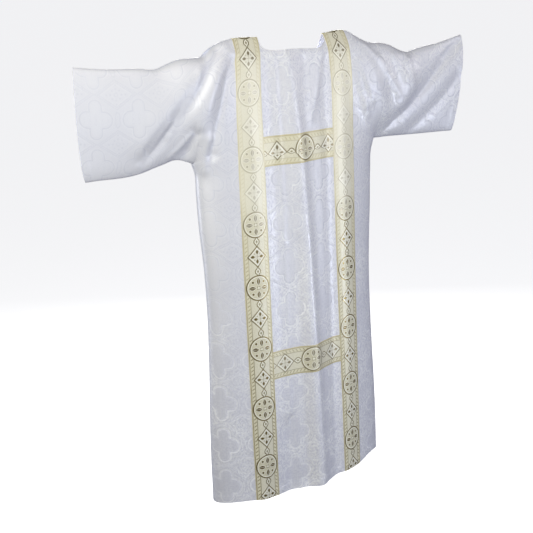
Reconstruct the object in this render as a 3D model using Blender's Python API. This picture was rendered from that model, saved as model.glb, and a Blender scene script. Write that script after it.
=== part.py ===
"""Dalmatic: a wide-sleeved vestment of white damask with woven bands down its front and back.

The garment hangs hollow, as a wearer fills it, with both sleeves held out.
Origin: the middle of the shoulder line.  +X is the wearer's left, +Y the back, +Z up.

Every piece of cloth is a height field.  A point of the front lies at y = seam - depth, and a point of
the back at y = seam + depth, where seam and depth are worked out from the tables below.  Each panel
is a grid of such points with a wall of constant thickness, and the bands are made from the panel's
own grid, moved out.
"""
import bpy
import numpy as np

# ---------------------------------------------------------------- sizes, in metres
LENGTH = 1.300              # shoulder line to hem
ARMHOLE_X = 0.300           # where the sleeves are sewn to the body
UNDERARM_Z = -0.315         # lower end of the armhole
CUFF_TOP_X = 0.6225         # end of the sleeve at its top fold
CUFF_SLANT = 0.0165         # how much shorter the sleeve is at its lower fold
CUFF_BOW = {-1: (0.016, -0.006), 1: (0.006, 0.006)}   # bow of the cuff's front and back, right and left
CUFF_BACKSET = 0.014        # how far the sleeve's top swings back at the cuff
CUFF_SWING = 1.5            # how late along the sleeve it does so
CLOTH_WALL = 0.0016         # wall of the damask pieces
BAND_WALL = 0.0010          # wall of the woven bands
SEAM_GAP = 0.0003           # clear gap between pieces that are sewn together

BAND_WIDTH = 0.081          # width of the woven band
CHEST_BAR_Z = -0.301        # middle of the upper crossbar
KNEE_BAR_Z = -0.908         # middle of the lower crossbar

NECK_FRONT = (0.036, 8.0)   # drop of the neckline, and how square its corners are
NECK_BACK = (0.054, 20.0)

SHOULDER_ROUND = 0.050      # height over which the cloth rolls over the shoulder
BODY_FULLNESS = 2.2         # exponent of the body's section: 2 is an ellipse
ARM_BLEND = 2.5             # how sharply body and arm run into each other
ARM_FADE = (0.10, 0.27)     # |x| over which the arm's hollow grows out of the body's
ARM_SECTION = (0.8, 0.6)    # how high the sleeve is fullest, and how round its edges are
FOLD_FADE_DEPTH = 0.020     # folds die out where the hollow gets shallower than this
FOLD_PATH_POINTS = 25       # points along the curve of a fold

FRONT, BACK = -1, 1

# Edges of the vertical bands: z, |x| of the inner and outer edge on the right, the same on the left.
# They close in on the neck at the shoulder, and bow over a fold, so they look narrower than the band.
BAND_EDGES = (
    (-LENGTH, 0.1150, 0.1890, 0.1250, 0.1900),
    (-1.000, 0.1148, 0.1895, 0.1220, 0.1905),
    (-0.650, 0.1146, 0.1900, 0.1175, 0.1910),
    (-0.300, 0.1146, 0.1908, 0.1155, 0.1908),
    (-0.120, 0.1140, 0.1900, 0.1130, 0.1890),
    (-0.050, 0.1105, 0.1865, 0.1065, 0.1820),
    (0.000, 0.1065, 0.1827, 0.0995, 0.1750),
)

# Shoulder line and top fold of the sleeves: |x|, z on the wearer's right, z on the left.
TOP_LINE = (
    (0.000, 0.000, -0.001),
    (0.105, -0.001, -0.005),
    (0.160, 0.001, 0.000),
    (0.190, -0.001, -0.003),
    (0.222, -0.008, -0.020),
    (0.252, -0.022, -0.034),
    (0.275, -0.038, -0.040),
    (0.300, -0.040, -0.042),
    (0.345, -0.042, -0.053),
    (0.375, -0.051, -0.067),
    (0.400, -0.059, -0.075),
    (0.455, -0.055, -0.068),
    (0.540, -0.050, -0.058),
    (0.6225, -0.039, -0.042),
)

# Lower fold of the sleeves: |x|, z on the wearer's right, z on the left.
SLEEVE_BOTTOM = (
    (0.000, UNDERARM_Z, UNDERARM_Z),
    (0.300, UNDERARM_Z, UNDERARM_Z),
    (0.322, -0.306, -0.316),
    (0.345, -0.299, -0.316),
    (0.395, -0.307, -0.318),
    (0.455, -0.321, -0.321),
    (0.600, -0.323, -0.327),
)

# Side seams: z, half-width of the body.
SIDE_LINE = (
    (-LENGTH, 0.292),
    (-1.180, 0.291),
    (-1.050, 0.287),
    (-0.950, 0.282),
    (-0.850, 0.278),
    (-0.720, 0.275),
    (-0.600, 0.278),
    (-0.500, 0.284),
    (-0.400, 0.287),
    (-0.345, 0.290),
    (UNDERARM_Z, ARMHOLE_X),
)

# How far the hem is off its level: x, front, back.
HEM_LIFT = (
    (-0.292, 0.004, 0.004),
    (-0.240, 0.001, 0.000),
    (0.120, 0.000, 0.000),
    (0.200, -0.002, -0.004),
    (0.260, -0.003, -0.006),
    (0.292, 0.003, 0.003),
)

# Hollow of the body: drop below the top line, depth of the front, depth of the back, y of the side seams.
BODY_DEPTH = (
    (0.00, 0.014, 0.008, 0.000),
    (0.05, 0.029, 0.020, 0.007),
    (0.10, 0.039, 0.044, 0.014),
    (0.20, 0.055, 0.080, 0.028),
    (0.32, 0.066, 0.102, 0.037),
    (0.60, 0.067, 0.100, 0.038),
    (0.95, 0.068, 0.098, 0.039),
    (1.31, 0.069, 0.098, 0.040),
)

# Hollow of the sleeve: |x|, depth in front of and behind its middle.
ARM_DEPTH = (
    (0.300, 0.046),
    (0.360, 0.038),
    (0.450, 0.030),
    (0.620, 0.022),
)

# Main folds of the front: x and z of start, middle and end, width towards -X and +X, height at both ends.
FRONT_FOLDS = (
    (-0.262, -0.040, -0.362, -0.180, -0.470, -0.290, 0.036, 0.016, 0.010, 0.007),
    (-0.240, -0.045, -0.330, -0.165, -0.425, -0.285, 0.014, 0.024, -0.010, -0.006),
    (-0.202, -0.030, -0.262, -0.170, -0.292, -0.280, 0.034, 0.015, 0.010, 0.010),
    (-0.198, -0.060, -0.240, -0.190, -0.256, -0.310, 0.015, 0.022, -0.008, -0.006),
    (0.215, -0.040, 0.275, -0.170, 0.330, -0.275, 0.030, 0.030, 0.006, 0.006),
    (0.375, -0.080, 0.395, -0.150, 0.380, -0.220, 0.034, 0.034, 0.008, 0.008),
    (0.605, -0.060, 0.465, -0.190, 0.335, -0.290, 0.026, 0.022, -0.013, -0.008),
    (0.605, -0.185, 0.500, -0.260, 0.390, -0.312, 0.022, 0.022, -0.010, -0.006),
    (-0.155, -0.040, -0.155, -0.650, -0.165, -1.300, 0.028, 0.030, 0.004, 0.009),
    (-0.080, -0.080, -0.072, -0.600, -0.068, -1.300, 0.030, 0.028, -0.002, -0.011),
    (-0.025, -0.040, 0.000, -0.600, 0.020, -1.300, 0.034, 0.044, 0.004, 0.018),
    (0.095, -0.080, 0.098, -0.600, 0.100, -1.300, 0.024, 0.022, -0.004, -0.006),
    (0.152, -0.040, 0.150, -0.650, 0.140, -1.300, 0.028, 0.030, 0.004, 0.002),
    (0.230, -0.500, 0.244, -0.950, 0.255, -1.300, 0.055, 0.060, -0.002, -0.008),
)

# Main folds of the back, of the same kinds, less even than a mirror image of the front.
BACK_FOLDS = (
    (-0.215, -0.035, -0.290, -0.170, -0.340, -0.275, 0.030, 0.022, 0.010, 0.006),
    (-0.285, -0.055, -0.400, -0.190, -0.500, -0.295, 0.026, 0.022, -0.010, -0.006),
    (0.205, -0.035, 0.270, -0.170, 0.305, -0.280, 0.020, 0.034, 0.010, 0.008),
    (0.250, -0.050, 0.345, -0.180, 0.450, -0.290, 0.022, 0.024, -0.010, -0.006),
    (-0.150, -0.050, -0.148, -0.650, -0.156, -1.300, 0.028, 0.030, 0.004, 0.008),
    (-0.055, -0.100, -0.062, -0.600, -0.075, -1.300, 0.032, 0.032, -0.003, -0.010),
    (0.030, -0.060, 0.022, -0.600, 0.010, -1.300, 0.036, 0.040, 0.005, 0.014),
    (0.152, -0.050, 0.152, -0.650, 0.148, -1.300, 0.030, 0.028, 0.004, 0.008),
)

# ---------------------------------------------------------------- grid of the body panels
NECK_SHARES = (0.0, 0.26, 0.51, 0.70, 0.85, 0.945)             # columns from the middle to a band
BAND_START = len(NECK_SHARES)                                   # number of the band's first column
BAND_STEPS = 3              # cells across a band
SIDE_STEPS = 5              # columns from a band to the side seam
ROLL_STEPS = 6              # rows over the roll of the shoulder
CHEST_LEVELS = (-0.110, -0.140, -0.175, -0.215)                 # rows from there to the upper bar
UNDERARM_ROW = -0.290       # a row just above the lower end of the armhole
BODY_LEVELS = (-0.400, -0.470, -0.545, -0.625, -0.705, -0.790)  # rows between the two bars
HEM_LEVELS = (-1.020, -1.090, -1.160, -1.230, -LENGTH)          # rows below the lower bar
SLEEVE_AROUND = 26          # points around a sleeve, an even number
SLEEVE_ALONG = 13           # cells along a sleeve
SHARP_DEGREES = 50          # edges sharper than this stay crisp
ROUNDING = 1e-9             # margin for comparing heights worked out in two ways

# ---------------------------------------------------------------- colours: base colour, roughness, metallic
DAMASK = ((0.86, 0.86, 0.90), 0.45, 0.0)
GALLOON = ((0.74, 0.68, 0.45), 0.40, 0.2)


# ---------------------------------------------------------------- curves read from the tables
def smooth_curve(knots, values, at):
    """Cubic curve through the table's points, with no overshoot at its ends."""
    knots = np.asarray(knots, float)
    values = np.asarray(values, float)
    slopes = np.gradient(values, knots)
    at = np.clip(at, knots[0], knots[-1])
    cell = np.clip(np.searchsorted(knots, at, side="right") - 1, 0, len(knots) - 2)
    width = knots[cell + 1] - knots[cell]
    t = (at - knots[cell]) / width
    start = (1 + 2 * t) * (1 - t) ** 2 * values[cell] + t * (1 - t) ** 2 * width * slopes[cell]
    end = t ** 2 * (3 - 2 * t) * values[cell + 1] + t ** 2 * (t - 1) * width * slopes[cell + 1]
    return start + end


def column(table, number):
    return [row[number] for row in table]


def by_side(table, x):
    """Value of a table that has one column for each side of the wearer."""
    right = smooth_curve(column(table, 0), column(table, 1), np.abs(x))
    left = smooth_curve(column(table, 0), column(table, 2), np.abs(x))
    return np.where(x < 0, right, left)


def smooth_step(low, high, value):
    t = np.clip((value - low) / (high - low), 0.0, 1.0)
    return t * t * (3 - 2 * t)


def half_width(z):
    return smooth_curve(column(SIDE_LINE, 0), column(SIDE_LINE, 1), np.minimum(z, UNDERARM_Z))


def hem_lift(x, level, side):
    """Rise of a row below the lower crossbar, growing towards the hem."""
    lift = smooth_curve(column(HEM_LIFT, 0), column(HEM_LIFT, 1 if side == FRONT else 2), x)
    fixed = KNEE_BAR_Z - BAND_WIDTH / 2
    return lift * np.clip((level - fixed) / (-LENGTH - fixed), 0.0, 1.0)


def band_edge(level, side_of_wearer, outer):
    """|x| of a vertical band's edge; side_of_wearer is -1 for the right and 1 for the left."""
    number = (1 if side_of_wearer < 0 else 3) + (1 if outer else 0)
    return smooth_curve(column(BAND_EDGES, 0), column(BAND_EDGES, number), level)


def neckline(x, drop, squareness):
    """Height of the neck's edge, which runs from one band's inner edge to the other's."""
    half = np.where(x < 0, band_edge(0.0, -1, False), band_edge(0.0, 1, False))
    reach = np.clip(np.abs(x) / half, 0.0, 1.0)
    return by_side(TOP_LINE, x) - drop * np.sqrt(1 - reach ** squareness)


# ---------------------------------------------------------------- the hollow form
def seam_y(x, z):
    """y of the surface that parts front from back."""
    drop = by_side(TOP_LINE, x) - z
    middle = smooth_curve(column(BODY_DEPTH, 0), column(BODY_DEPTH, 3), drop)
    swing = CUFF_BACKSET * (np.abs(x) / CUFF_TOP_X) ** CUFF_SWING
    return middle + swing * (1 - np.clip(drop / -UNDERARM_Z, 0.0, 1.0))


def body_hollow(x, z, side):
    drop = np.maximum(by_side(TOP_LINE, x) - z, 0.0)
    depth = smooth_curve(column(BODY_DEPTH, 0), column(BODY_DEPTH, 1 if side == FRONT else 2), drop)
    roll = np.sqrt(1 - (1 - np.clip(drop / SHOULDER_ROUND, 0.0, 1.0)) ** 2)
    reach = np.clip(np.abs(x) / half_width(z), 0.0, 1.0)
    return depth * roll * np.sqrt(1 - reach ** BODY_FULLNESS)


def arm_hollow(x, z):
    top = by_side(TOP_LINE, x)
    bottom = by_side(SLEEVE_BOTTOM, x)
    down = np.clip((top - z) / (top - bottom), 0.0, 1.0)
    depth = smooth_curve(column(ARM_DEPTH, 0), column(ARM_DEPTH, 1), np.abs(x))
    height_of_fullness, roundness = ARM_SECTION
    section = np.sin(np.pi * down ** height_of_fullness) ** roundness
    return depth * smooth_step(*ARM_FADE, np.abs(x)) * section


def fold_height(x, z, folds):
    """Sum of soft ridges and troughs, each along a curve of three points."""
    height = np.zeros_like(x)
    steps = np.linspace(0.0, 1.0, FOLD_PATH_POINTS)
    for x0, z0, x1, z1, x2, z2, width_right, width_left, rise_start, rise_end in folds:
        weights = ((1 - steps) ** 2, 2 * steps * (1 - steps), steps ** 2)
        bend_x = 2 * x1 - (x0 + x2) / 2
        bend_z = 2 * z1 - (z0 + z2) / 2
        path_x = weights[0] * x0 + weights[1] * bend_x + weights[2] * x2
        path_z = weights[0] * z0 + weights[1] * bend_z + weights[2] * z2
        away_x = x[..., None] - path_x
        away_z = z[..., None] - path_z
        nearest = np.argmin(away_x ** 2 + away_z ** 2, axis=-1)
        dx = np.take_along_axis(away_x, nearest[..., None], -1)[..., 0]
        dz = np.take_along_axis(away_z, nearest[..., None], -1)[..., 0]
        along = (path_x[nearest] - x0) * (x2 - x0) + (path_z[nearest] - z0) * (z2 - z0)
        along = along / ((x2 - x0) ** 2 + (z2 - z0) ** 2)
        width = np.where(dx < 0, width_right, width_left)
        rise = rise_start + (rise_end - rise_start) * along
        height = height + rise * np.exp(-(dx ** 2 + dz ** 2) / width ** 2)
    return height


def depth(x, z, side):
    """Distance of the cloth from the seam surface."""
    body = body_hollow(x, z, side)
    arm = arm_hollow(x, z)
    hollow = (body ** ARM_BLEND + arm ** ARM_BLEND) ** (1 / ARM_BLEND)
    folds = fold_height(x, z, FRONT_FOLDS if side == FRONT else BACK_FOLDS)
    return hollow + folds * np.clip(hollow / FOLD_FADE_DEPTH, 0.0, 1.0)


# ---------------------------------------------------------------- grids of the pieces
def half_row(level, side_of_wearer):
    """|x| of a row's points: by share up to the band, evenly over it, by equal angles to the side seam."""
    start = float(band_edge(level, side_of_wearer, False))
    end = float(band_edge(level, side_of_wearer, True))
    edge = float(half_width(np.array(level)))
    band = [start + (end - start) * step / BAND_STEPS for step in range(BAND_STEPS + 1)]
    first = np.arcsin(end / edge)
    angles = [first + (np.pi / 2 - first) * step / SIDE_STEPS for step in range(1, SIDE_STEPS + 1)]
    return [share * start for share in NECK_SHARES] + band + [edge * float(np.sin(angle)) for angle in angles]


def row_points(level):
    right = half_row(level, -1)
    left = half_row(level, 1)
    return np.array([-value for value in right[:0:-1]] + left)


def column_offsets(row_length):
    """Number of each column, counted from the middle one: negative on the wearer's right."""
    return np.arange(row_length) - row_length // 2


def panel_levels():
    chest = [CHEST_BAR_Z + BAND_WIDTH / 2, UNDERARM_ROW, UNDERARM_Z, CHEST_BAR_Z - BAND_WIDTH / 2]
    knee = [KNEE_BAR_Z + BAND_WIDTH / 2, KNEE_BAR_Z, KNEE_BAR_Z - BAND_WIDTH / 2]
    return list(CHEST_LEVELS) + chest + list(BODY_LEVELS) + knee + list(HEM_LEVELS)


def panel_grid(side):
    """Points and outward normals of a body panel, row by row from the shoulder to the hem."""
    neck = NECK_FRONT if side == FRONT else NECK_BACK
    roll = [1 - np.cos(np.pi / 2 * step / ROLL_STEPS) for step in range(ROLL_STEPS + 1)]
    levels = [0.0] * len(roll) + panel_levels()
    rows = []
    for number, level in enumerate(levels):
        xs = row_points(-SHOULDER_ROUND * roll[number] if number < len(roll) else level)
        if number < len(roll):
            top = by_side(TOP_LINE, xs)
            in_neck = np.abs(column_offsets(len(xs))) < BAND_START
            start = np.where(in_neck, neckline(xs, *neck), top)
            zs = start + (top - SHOULDER_ROUND - start) * roll[number]
        else:
            zs = level + hem_lift(xs, level, side)
        rows.append((xs, zs))
    x = np.array([row[0] for row in rows])
    z = np.array([row[1] for row in rows])
    y = seam_y(x, z) + side * depth(x, z, side)
    normals = surface_normals(x, y, z, side)
    return seat_edges(np.stack((x, y, z), -1), normals, side)


def surface_normals(x, y, z, side):
    points = np.stack((x, y, z), -1)
    across = np.gradient(points, axis=1)
    down = np.gradient(points, axis=0)
    normals = np.cross(across, down)
    normals /= np.linalg.norm(normals, axis=-1, keepdims=True)
    return normals * np.sign(normals[..., 1:2] * side + ROUNDING)


def seat_edges(points, normals, side):
    """Put sewn edges half a gap off the seam surface and turn their walls into its plane."""
    x = points[..., 0]
    z = points[..., 2]
    half_gap = SEAM_GAP / 2
    sewn_top = np.zeros(x.shape, bool)
    sewn_top[0] = np.abs(column_offsets(x.shape[1])) >= BAND_START
    sewn_side = np.zeros(x.shape, bool)
    sewn_side[:, (0, -1)] = z[:, (0, -1)] <= UNDERARM_Z + ROUNDING
    armhole = np.zeros(x.shape, bool)
    armhole[:, (0, -1)] = z[:, (0, -1)] > UNDERARM_Z + ROUNDING
    sewn = sewn_top | sewn_side
    points[sewn, 1] = seam_y(x[sewn], z[sewn]) + side * half_gap
    normals[armhole, 0] = 0.0
    normals[sewn_side] = np.stack((np.sign(x), 0 * x, 0 * x), -1)[sewn_side]
    normals[sewn_top] = (0.0, 0.0, 1.0)
    underarm = sewn_side & (z > UNDERARM_Z - ROUNDING)
    normals[underarm] = (0.0, 0.0, -1.0)
    normals /= np.linalg.norm(normals, axis=-1, keepdims=True)
    return points, normals


def sleeve_grid(sign):
    """Rings from armhole to cuff; each ring runs down the front and up the back."""
    half = SLEEVE_AROUND // 2
    angles = 2 * np.pi * np.arange(SLEEVE_AROUND) / SLEEVE_AROUND
    down = (1 - np.cos(angles)) / 2
    bow = np.where(np.arange(SLEEVE_AROUND) <= half, *CUFF_BOW[sign]) * np.abs(np.sin(angles))
    start = ARMHOLE_X + SEAM_GAP
    rings = []
    for step in range(SLEEVE_ALONG + 1):
        end = CUFF_TOP_X - CUFF_SLANT * down + bow
        x = sign * (start + (end - start) * step / SLEEVE_ALONG)
        top = by_side(TOP_LINE, x)
        z = top + (by_side(SLEEVE_BOTTOM, x) - top) * down
        front = seam_y(x, z) - depth(x, z, FRONT)
        back = seam_y(x, z) + depth(x, z, BACK)
        y = np.where(np.arange(SLEEVE_AROUND) <= half, front, back)
        y[0] = seam_y(x[:1], z[:1])[0]
        y[half] = seam_y(x[half:half + 1], z[half:half + 1])[0]
        rings.append(np.stack((x, y, z), -1))
    points = np.array(rings)
    along = np.gradient(points, axis=0)
    around = (np.roll(points, -1, axis=1) - np.roll(points, 1, axis=1)) / 2
    normals = np.cross(along, around) * sign
    normals[(0, -1), :, 0] = 0.0
    normals /= np.linalg.norm(normals, axis=-1, keepdims=True)
    return points, normals


# ---------------------------------------------------------------- solids
def new_material(name, finish):
    colour, roughness, metallic = finish
    material = bpy.data.materials.new(name)
    material.use_nodes = True
    shader = material.node_tree.nodes["Principled BSDF"]
    shader.inputs["Base Color"].default_value = (*colour, 1.0)
    shader.inputs["Roughness"].default_value = roughness
    shader.inputs["Metallic"].default_value = metallic
    material.diffuse_color = (*colour, 1.0)
    return material


def two_triangles(a, b, c, d, points):
    """Split a cell along the diagonal that rises towards the side seam, whichever way it is listed."""
    outward = abs(points[b][0]) > abs(points[a][0])
    upward = points[d][2] > points[a][2]
    if outward == upward:
        return [(a, b, c), (a, c, d)]
    return [(a, b, d), (b, c, d)]


def add_object(name, points, faces, finish):
    mesh = bpy.data.meshes.new(name)
    mesh.from_pydata([tuple(point) for point in points], [], faces)
    mesh.validate()
    mesh.shade_smooth()
    mesh.set_sharp_from_angle(angle=np.radians(SHARP_DEGREES))
    mesh.materials.append(new_material(name + "_finish", finish))
    piece = bpy.data.objects.new(name, mesh)
    bpy.context.scene.collection.objects.link(piece)
    return piece


def volume_of(points, faces):
    corners = np.array([[points[index] for index in face] for face in faces])
    return np.einsum("ij,ij->i", corners[:, 0], np.cross(corners[:, 1], corners[:, 2])).sum() / 6


def add_wall(name, outer, inner, finish, ring=False):
    """Closed solid between two grids of equal shape; a ring's columns close on themselves."""
    row_count, column_count = outer.shape[:2]
    points = np.concatenate((outer.reshape(-1, 3), inner.reshape(-1, 3)))
    offset = row_count * column_count
    last = column_count if ring else column_count - 1
    faces = []
    for row in range(row_count - 1):
        for col in range(last):
            after = (col + 1) % column_count
            a = row * column_count + col
            b = row * column_count + after
            c = (row + 1) * column_count + after
            d = (row + 1) * column_count + col
            for triangle in two_triangles(a, b, c, d, points):
                faces.append(triangle)
                faces.append(tuple(offset + index for index in reversed(triangle)))
    rims = [[row * column_count + col for col in range(column_count)] for row in (0, row_count - 1)]
    if ring:
        rims = [rim + rim[:1] for rim in rims]
    else:
        rims += [[row * column_count + col for row in range(row_count)] for col in (0, column_count - 1)]
    turned = (False, True, True, False)
    for rim, turn in zip(rims, turned):
        for a, b in zip(rim, rim[1:]):
            first, second = (a, b) if turn else (b, a)
            faces.append((first, second, offset + second))
            faces.append((first, offset + second, offset + first))
    if volume_of(points, faces) < 0:
        faces = [tuple(reversed(face)) for face in faces]
    return add_object(name, points, faces, finish)


def add_cloth(name, points, normals, finish, ring=False):
    shift = normals * CLOTH_WALL / 2
    return add_wall(name, points + shift, points - shift, finish, ring)


def add_band(name, points, normals):
    """A band lies on the damask: the panel's own points, moved out by its wall and the seam gap."""
    under = CLOTH_WALL / 2 + SEAM_GAP
    return add_wall(name, points + normals * (under + BAND_WALL), points + normals * under, GALLOON)


# ---------------------------------------------------------------- the bands' share of a panel's grid
def vertical_band(front, back, sign):
    """One strip: up the front, over the shoulder and down the back."""
    offsets = column_offsets(front[0].shape[1]) * sign
    chosen = (offsets >= BAND_START) & (offsets <= BAND_START + BAND_STEPS)
    front_points, front_normals = (grid[:, chosen] for grid in front)
    back_points, back_normals = (grid[:, chosen] for grid in back)
    points = np.concatenate((front_points[::-1], back_points[1:]))
    normals = np.concatenate((front_normals[::-1], back_normals[1:]))
    crest = len(front_points) - 1
    points[crest, :, 1] += SEAM_GAP / 2
    return points, normals


def crossbar(front, centre_z):
    """A strip of the front between the two vertical bands, a seam gap short of each."""
    points, normals = front
    columns = np.abs(column_offsets(points.shape[1])) <= BAND_START
    levels = points[:, points.shape[1] // 2, 2]
    rows = np.abs(levels - centre_z) < BAND_WIDTH / 2 + ROUNDING
    points = points[rows][:, columns].copy()
    normals = normals[rows][:, columns].copy()
    for end, beside in ((0, 1), (-1, -2)):
        step = points[:, beside] - points[:, end]
        points[:, end] += step * (SEAM_GAP / np.abs(step[:, :1]))
    return points, normals


# ---------------------------------------------------------------- build
def main():
    for old in list(bpy.data.objects):
        bpy.data.objects.remove(old, do_unlink=True)
    front = panel_grid(FRONT)
    back = panel_grid(BACK)
    add_cloth("front_panel", *front, DAMASK)
    add_cloth("back_panel", *back, DAMASK)
    for name, sign in (("right", -1), ("left", 1)):
        add_cloth("sleeve_" + name, *sleeve_grid(sign), DAMASK, ring=True)
        add_band("orphrey_" + name, *vertical_band(front, back, sign))
    add_band("crossbar_chest", *crossbar(front, CHEST_BAR_Z))
    add_band("crossbar_knee", *crossbar(front, KNEE_BAR_Z))


main()
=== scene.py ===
# %% [markdown]
# # A dalmatic of white damask with woven bands
#
# A dalmatic is a wide-sleeved church vestment. This one is cut from a white satin damask: a front, a
# back and two straight sleeves. A cream and gold woven band, called a galloon, runs from the front hem
# over each shoulder to the back hem, and two short lengths of it cross the front.
#
# The lesson starts from a plain model of the garment, in metres, with +Z up and +Y towards the back.
# Each plain piece is replaced by a thin, finely creased sheet of cloth that hangs in the same place.

# %% Load the plain model
import math

import bpy
import numpy as np
from mathutils import Matrix, Vector


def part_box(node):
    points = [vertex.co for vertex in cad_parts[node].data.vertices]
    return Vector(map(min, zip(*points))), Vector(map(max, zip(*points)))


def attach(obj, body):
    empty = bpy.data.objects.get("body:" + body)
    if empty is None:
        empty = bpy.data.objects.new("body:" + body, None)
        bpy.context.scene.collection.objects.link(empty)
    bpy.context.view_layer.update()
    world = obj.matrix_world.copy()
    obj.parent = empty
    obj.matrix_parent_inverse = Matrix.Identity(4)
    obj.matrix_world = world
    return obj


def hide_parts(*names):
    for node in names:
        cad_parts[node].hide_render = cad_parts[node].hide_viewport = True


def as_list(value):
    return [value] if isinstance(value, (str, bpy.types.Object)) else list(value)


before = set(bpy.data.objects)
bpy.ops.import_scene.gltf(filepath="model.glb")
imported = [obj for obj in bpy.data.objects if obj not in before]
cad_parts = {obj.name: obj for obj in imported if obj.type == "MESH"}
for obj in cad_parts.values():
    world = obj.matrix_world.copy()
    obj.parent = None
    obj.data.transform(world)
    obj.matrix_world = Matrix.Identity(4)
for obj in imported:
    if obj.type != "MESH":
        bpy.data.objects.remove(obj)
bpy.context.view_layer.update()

NODES = sorted(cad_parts)
print("plain pieces:", ", ".join(NODES))

# %% [markdown]
# ## The camera
#
# The viewer stands at the garment's front, towards the wearer's right, a little above its shoulders.
# A camera can be set with `track_to` constraints or by hand. Here its turn, its tilt and its roll are
# three named angles, and its three axes are worked out from them, so each can be changed by itself.

# %% Place the camera
CAMERA_PLACE = Vector((-1.6757, -2.4725, 0.1525))
CAMERA_TURN = math.radians(32.39)  # from straight ahead towards the wearer's left
CAMERA_TILT = math.radians(14.85)  # downwards
CAMERA_ROLL = math.radians(-2.62)
CAMERA_LENS = 73.81  # for a frame 36 mm wide
CAMERA_FRAME = 36.0


def camera_axes(turn, tilt, roll):
    """Right, up and forward of a camera that is turned, tilted and then rolled."""
    forward = Vector((math.sin(turn) * math.cos(tilt), math.cos(turn) * math.cos(tilt), -math.sin(tilt)))
    level_right = Vector((math.cos(turn), -math.sin(turn), 0.0))
    level_up = level_right.cross(forward)
    right = math.cos(roll) * level_right + math.sin(roll) * level_up
    return right, right.cross(forward), forward


camera_data = bpy.data.cameras.new("viewer")
camera_data.lens = CAMERA_LENS
camera_data.sensor_width = CAMERA_FRAME
camera = bpy.data.objects.new("viewer", camera_data)
bpy.context.scene.collection.objects.link(camera)
right, up, forward = camera_axes(CAMERA_TURN, CAMERA_TILT, CAMERA_ROLL)
turned = Matrix((right, up, -forward)).transposed().to_4x4()
camera.matrix_world = Matrix.Translation(CAMERA_PLACE) @ turned
bpy.context.scene.camera = camera
print("camera looks along", [round(value, 3) for value in forward])

# %% [markdown]
# ## The garment's own sizes
#
# A cutter works from a few lengths: shoulder to hem, the armhole, the end of the sleeve, the width of
# the band. Everything below is worked out from them. The armhole is read from the plain model, so that
# the fine cloth cannot drift away from it.

# %% Sizes
RIGHT, LEFT = -1, 1  # sides of the wearer, as the sign of x
FRONT, BACK = -1, 1  # and faces of the garment, as the sign of y
CLOTH_OUTER = 0.0008  # outer face of the damask, from the middle of its plain wall
LENGTH = 1.300  # shoulder line to hem
ARMHOLE_X = round(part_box("front_panel")[1][0], 4)
UNDERARM_Z = -0.315  # lower end of the armhole
CUFF_TOP_X = 0.6225  # end of the sleeve at its top fold
CUFF_SLANT = 0.0165  # how much shorter the sleeve is at its lower fold
CUFF_BOW = {RIGHT: (0.016, -0.006), LEFT: (0.006, 0.006)}  # bow of the cuff's front and back
CUFF_BACKSET = 0.014  # how far the sleeve's top swings back at the cuff
CUFF_SWING = 1.5  # how late along the sleeve it does so
SEAM_GAP = 0.0001  # between pieces that are sewn together, drawn closed by the thread
SEAM_EASE = 0.012  # over this much cloth an armhole's edges turn to meet each other
BAND_WIDTH = 0.081
CHEST_BAR_Z = -0.301  # middle of the upper crossbar
KNEE_BAR_Z = -0.908  # middle of the lower crossbar
NECK_FRONT = (0.036, 8.0)  # drop of the neckline, and how square its corners are
NECK_BACK = (0.054, 20.0)
SHOULDER_ROUND = 0.050  # height over which the cloth rolls over the shoulder
BODY_FULLNESS = 2.2  # exponent of the body's section: 2 is an ellipse
ARM_BLEND = 2.5  # how sharply body and arm run into each other
ARM_FADE = (0.10, 0.27)  # |x| over which the arm's hollow grows out of the body's
ARM_SECTION = (0.8, 0.6)  # how high the sleeve is fullest, and how round its edges are
FOLD_FADE_DEPTH = 0.020  # folds die out where the hollow gets shallower than this
print("armhole at |x| =", ARMHOLE_X, "m, sleeve ends at |x| =", CUFF_TOP_X, "m")

# %% [markdown]
# ## The outline and the hollow
#
# Each table below has one row for each place where the shape changes, and a smooth curve joins them.
# The outline could be traced as one long curve, but short tables stay readable: the top line of the
# shoulders and sleeves, the lower fold of the sleeves, the side seams, the hem, and how deep the hollow
# is. The two sides of the wearer differ a little, as real cloth does.

# %% Tables of the outline and the hollow
# Edges of the vertical bands: z, |x| of the inner and outer edge on the right, the same on the left.
BAND_EDGES = (
    (-LENGTH, 0.1150, 0.1890, 0.1250, 0.1900),
    (-1.000, 0.1148, 0.1895, 0.1220, 0.1905),
    (-0.650, 0.1146, 0.1900, 0.1175, 0.1910),
    (-0.300, 0.1146, 0.1908, 0.1155, 0.1908),
    (-0.120, 0.1140, 0.1900, 0.1160, 0.1875),
    (-0.050, 0.1105, 0.1865, 0.1115, 0.1815),
    (0.000, 0.1065, 0.1827, 0.1070, 0.1755),
)
# Shoulder line and top fold of the sleeves: |x|, z on the wearer's right, z on the left.
TOP_LINE = (
    (0.000, 0.000, -0.001),
    (0.105, -0.001, -0.005),
    (0.160, 0.001, 0.000),
    (0.190, -0.001, -0.003),
    (0.222, -0.008, -0.020),
    (0.252, -0.022, -0.034),
    (0.275, -0.038, -0.040),
    (0.300, -0.040, -0.042),
    (0.345, -0.042, -0.053),
    (0.375, -0.051, -0.067),
    (0.400, -0.059, -0.075),
    (0.455, -0.055, -0.068),
    (0.540, -0.050, -0.058),
    (0.6225, -0.039, -0.042),
)
# Lower fold of the sleeves: |x|, z on the wearer's right, z on the left.
SLEEVE_BOTTOM = (
    (0.000, UNDERARM_Z, UNDERARM_Z),
    (0.300, UNDERARM_Z, UNDERARM_Z),
    (0.322, -0.306, -0.316),
    (0.345, -0.299, -0.316),
    (0.395, -0.307, -0.318),
    (0.455, -0.321, -0.321),
    (0.600, -0.323, -0.327),
)
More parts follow.
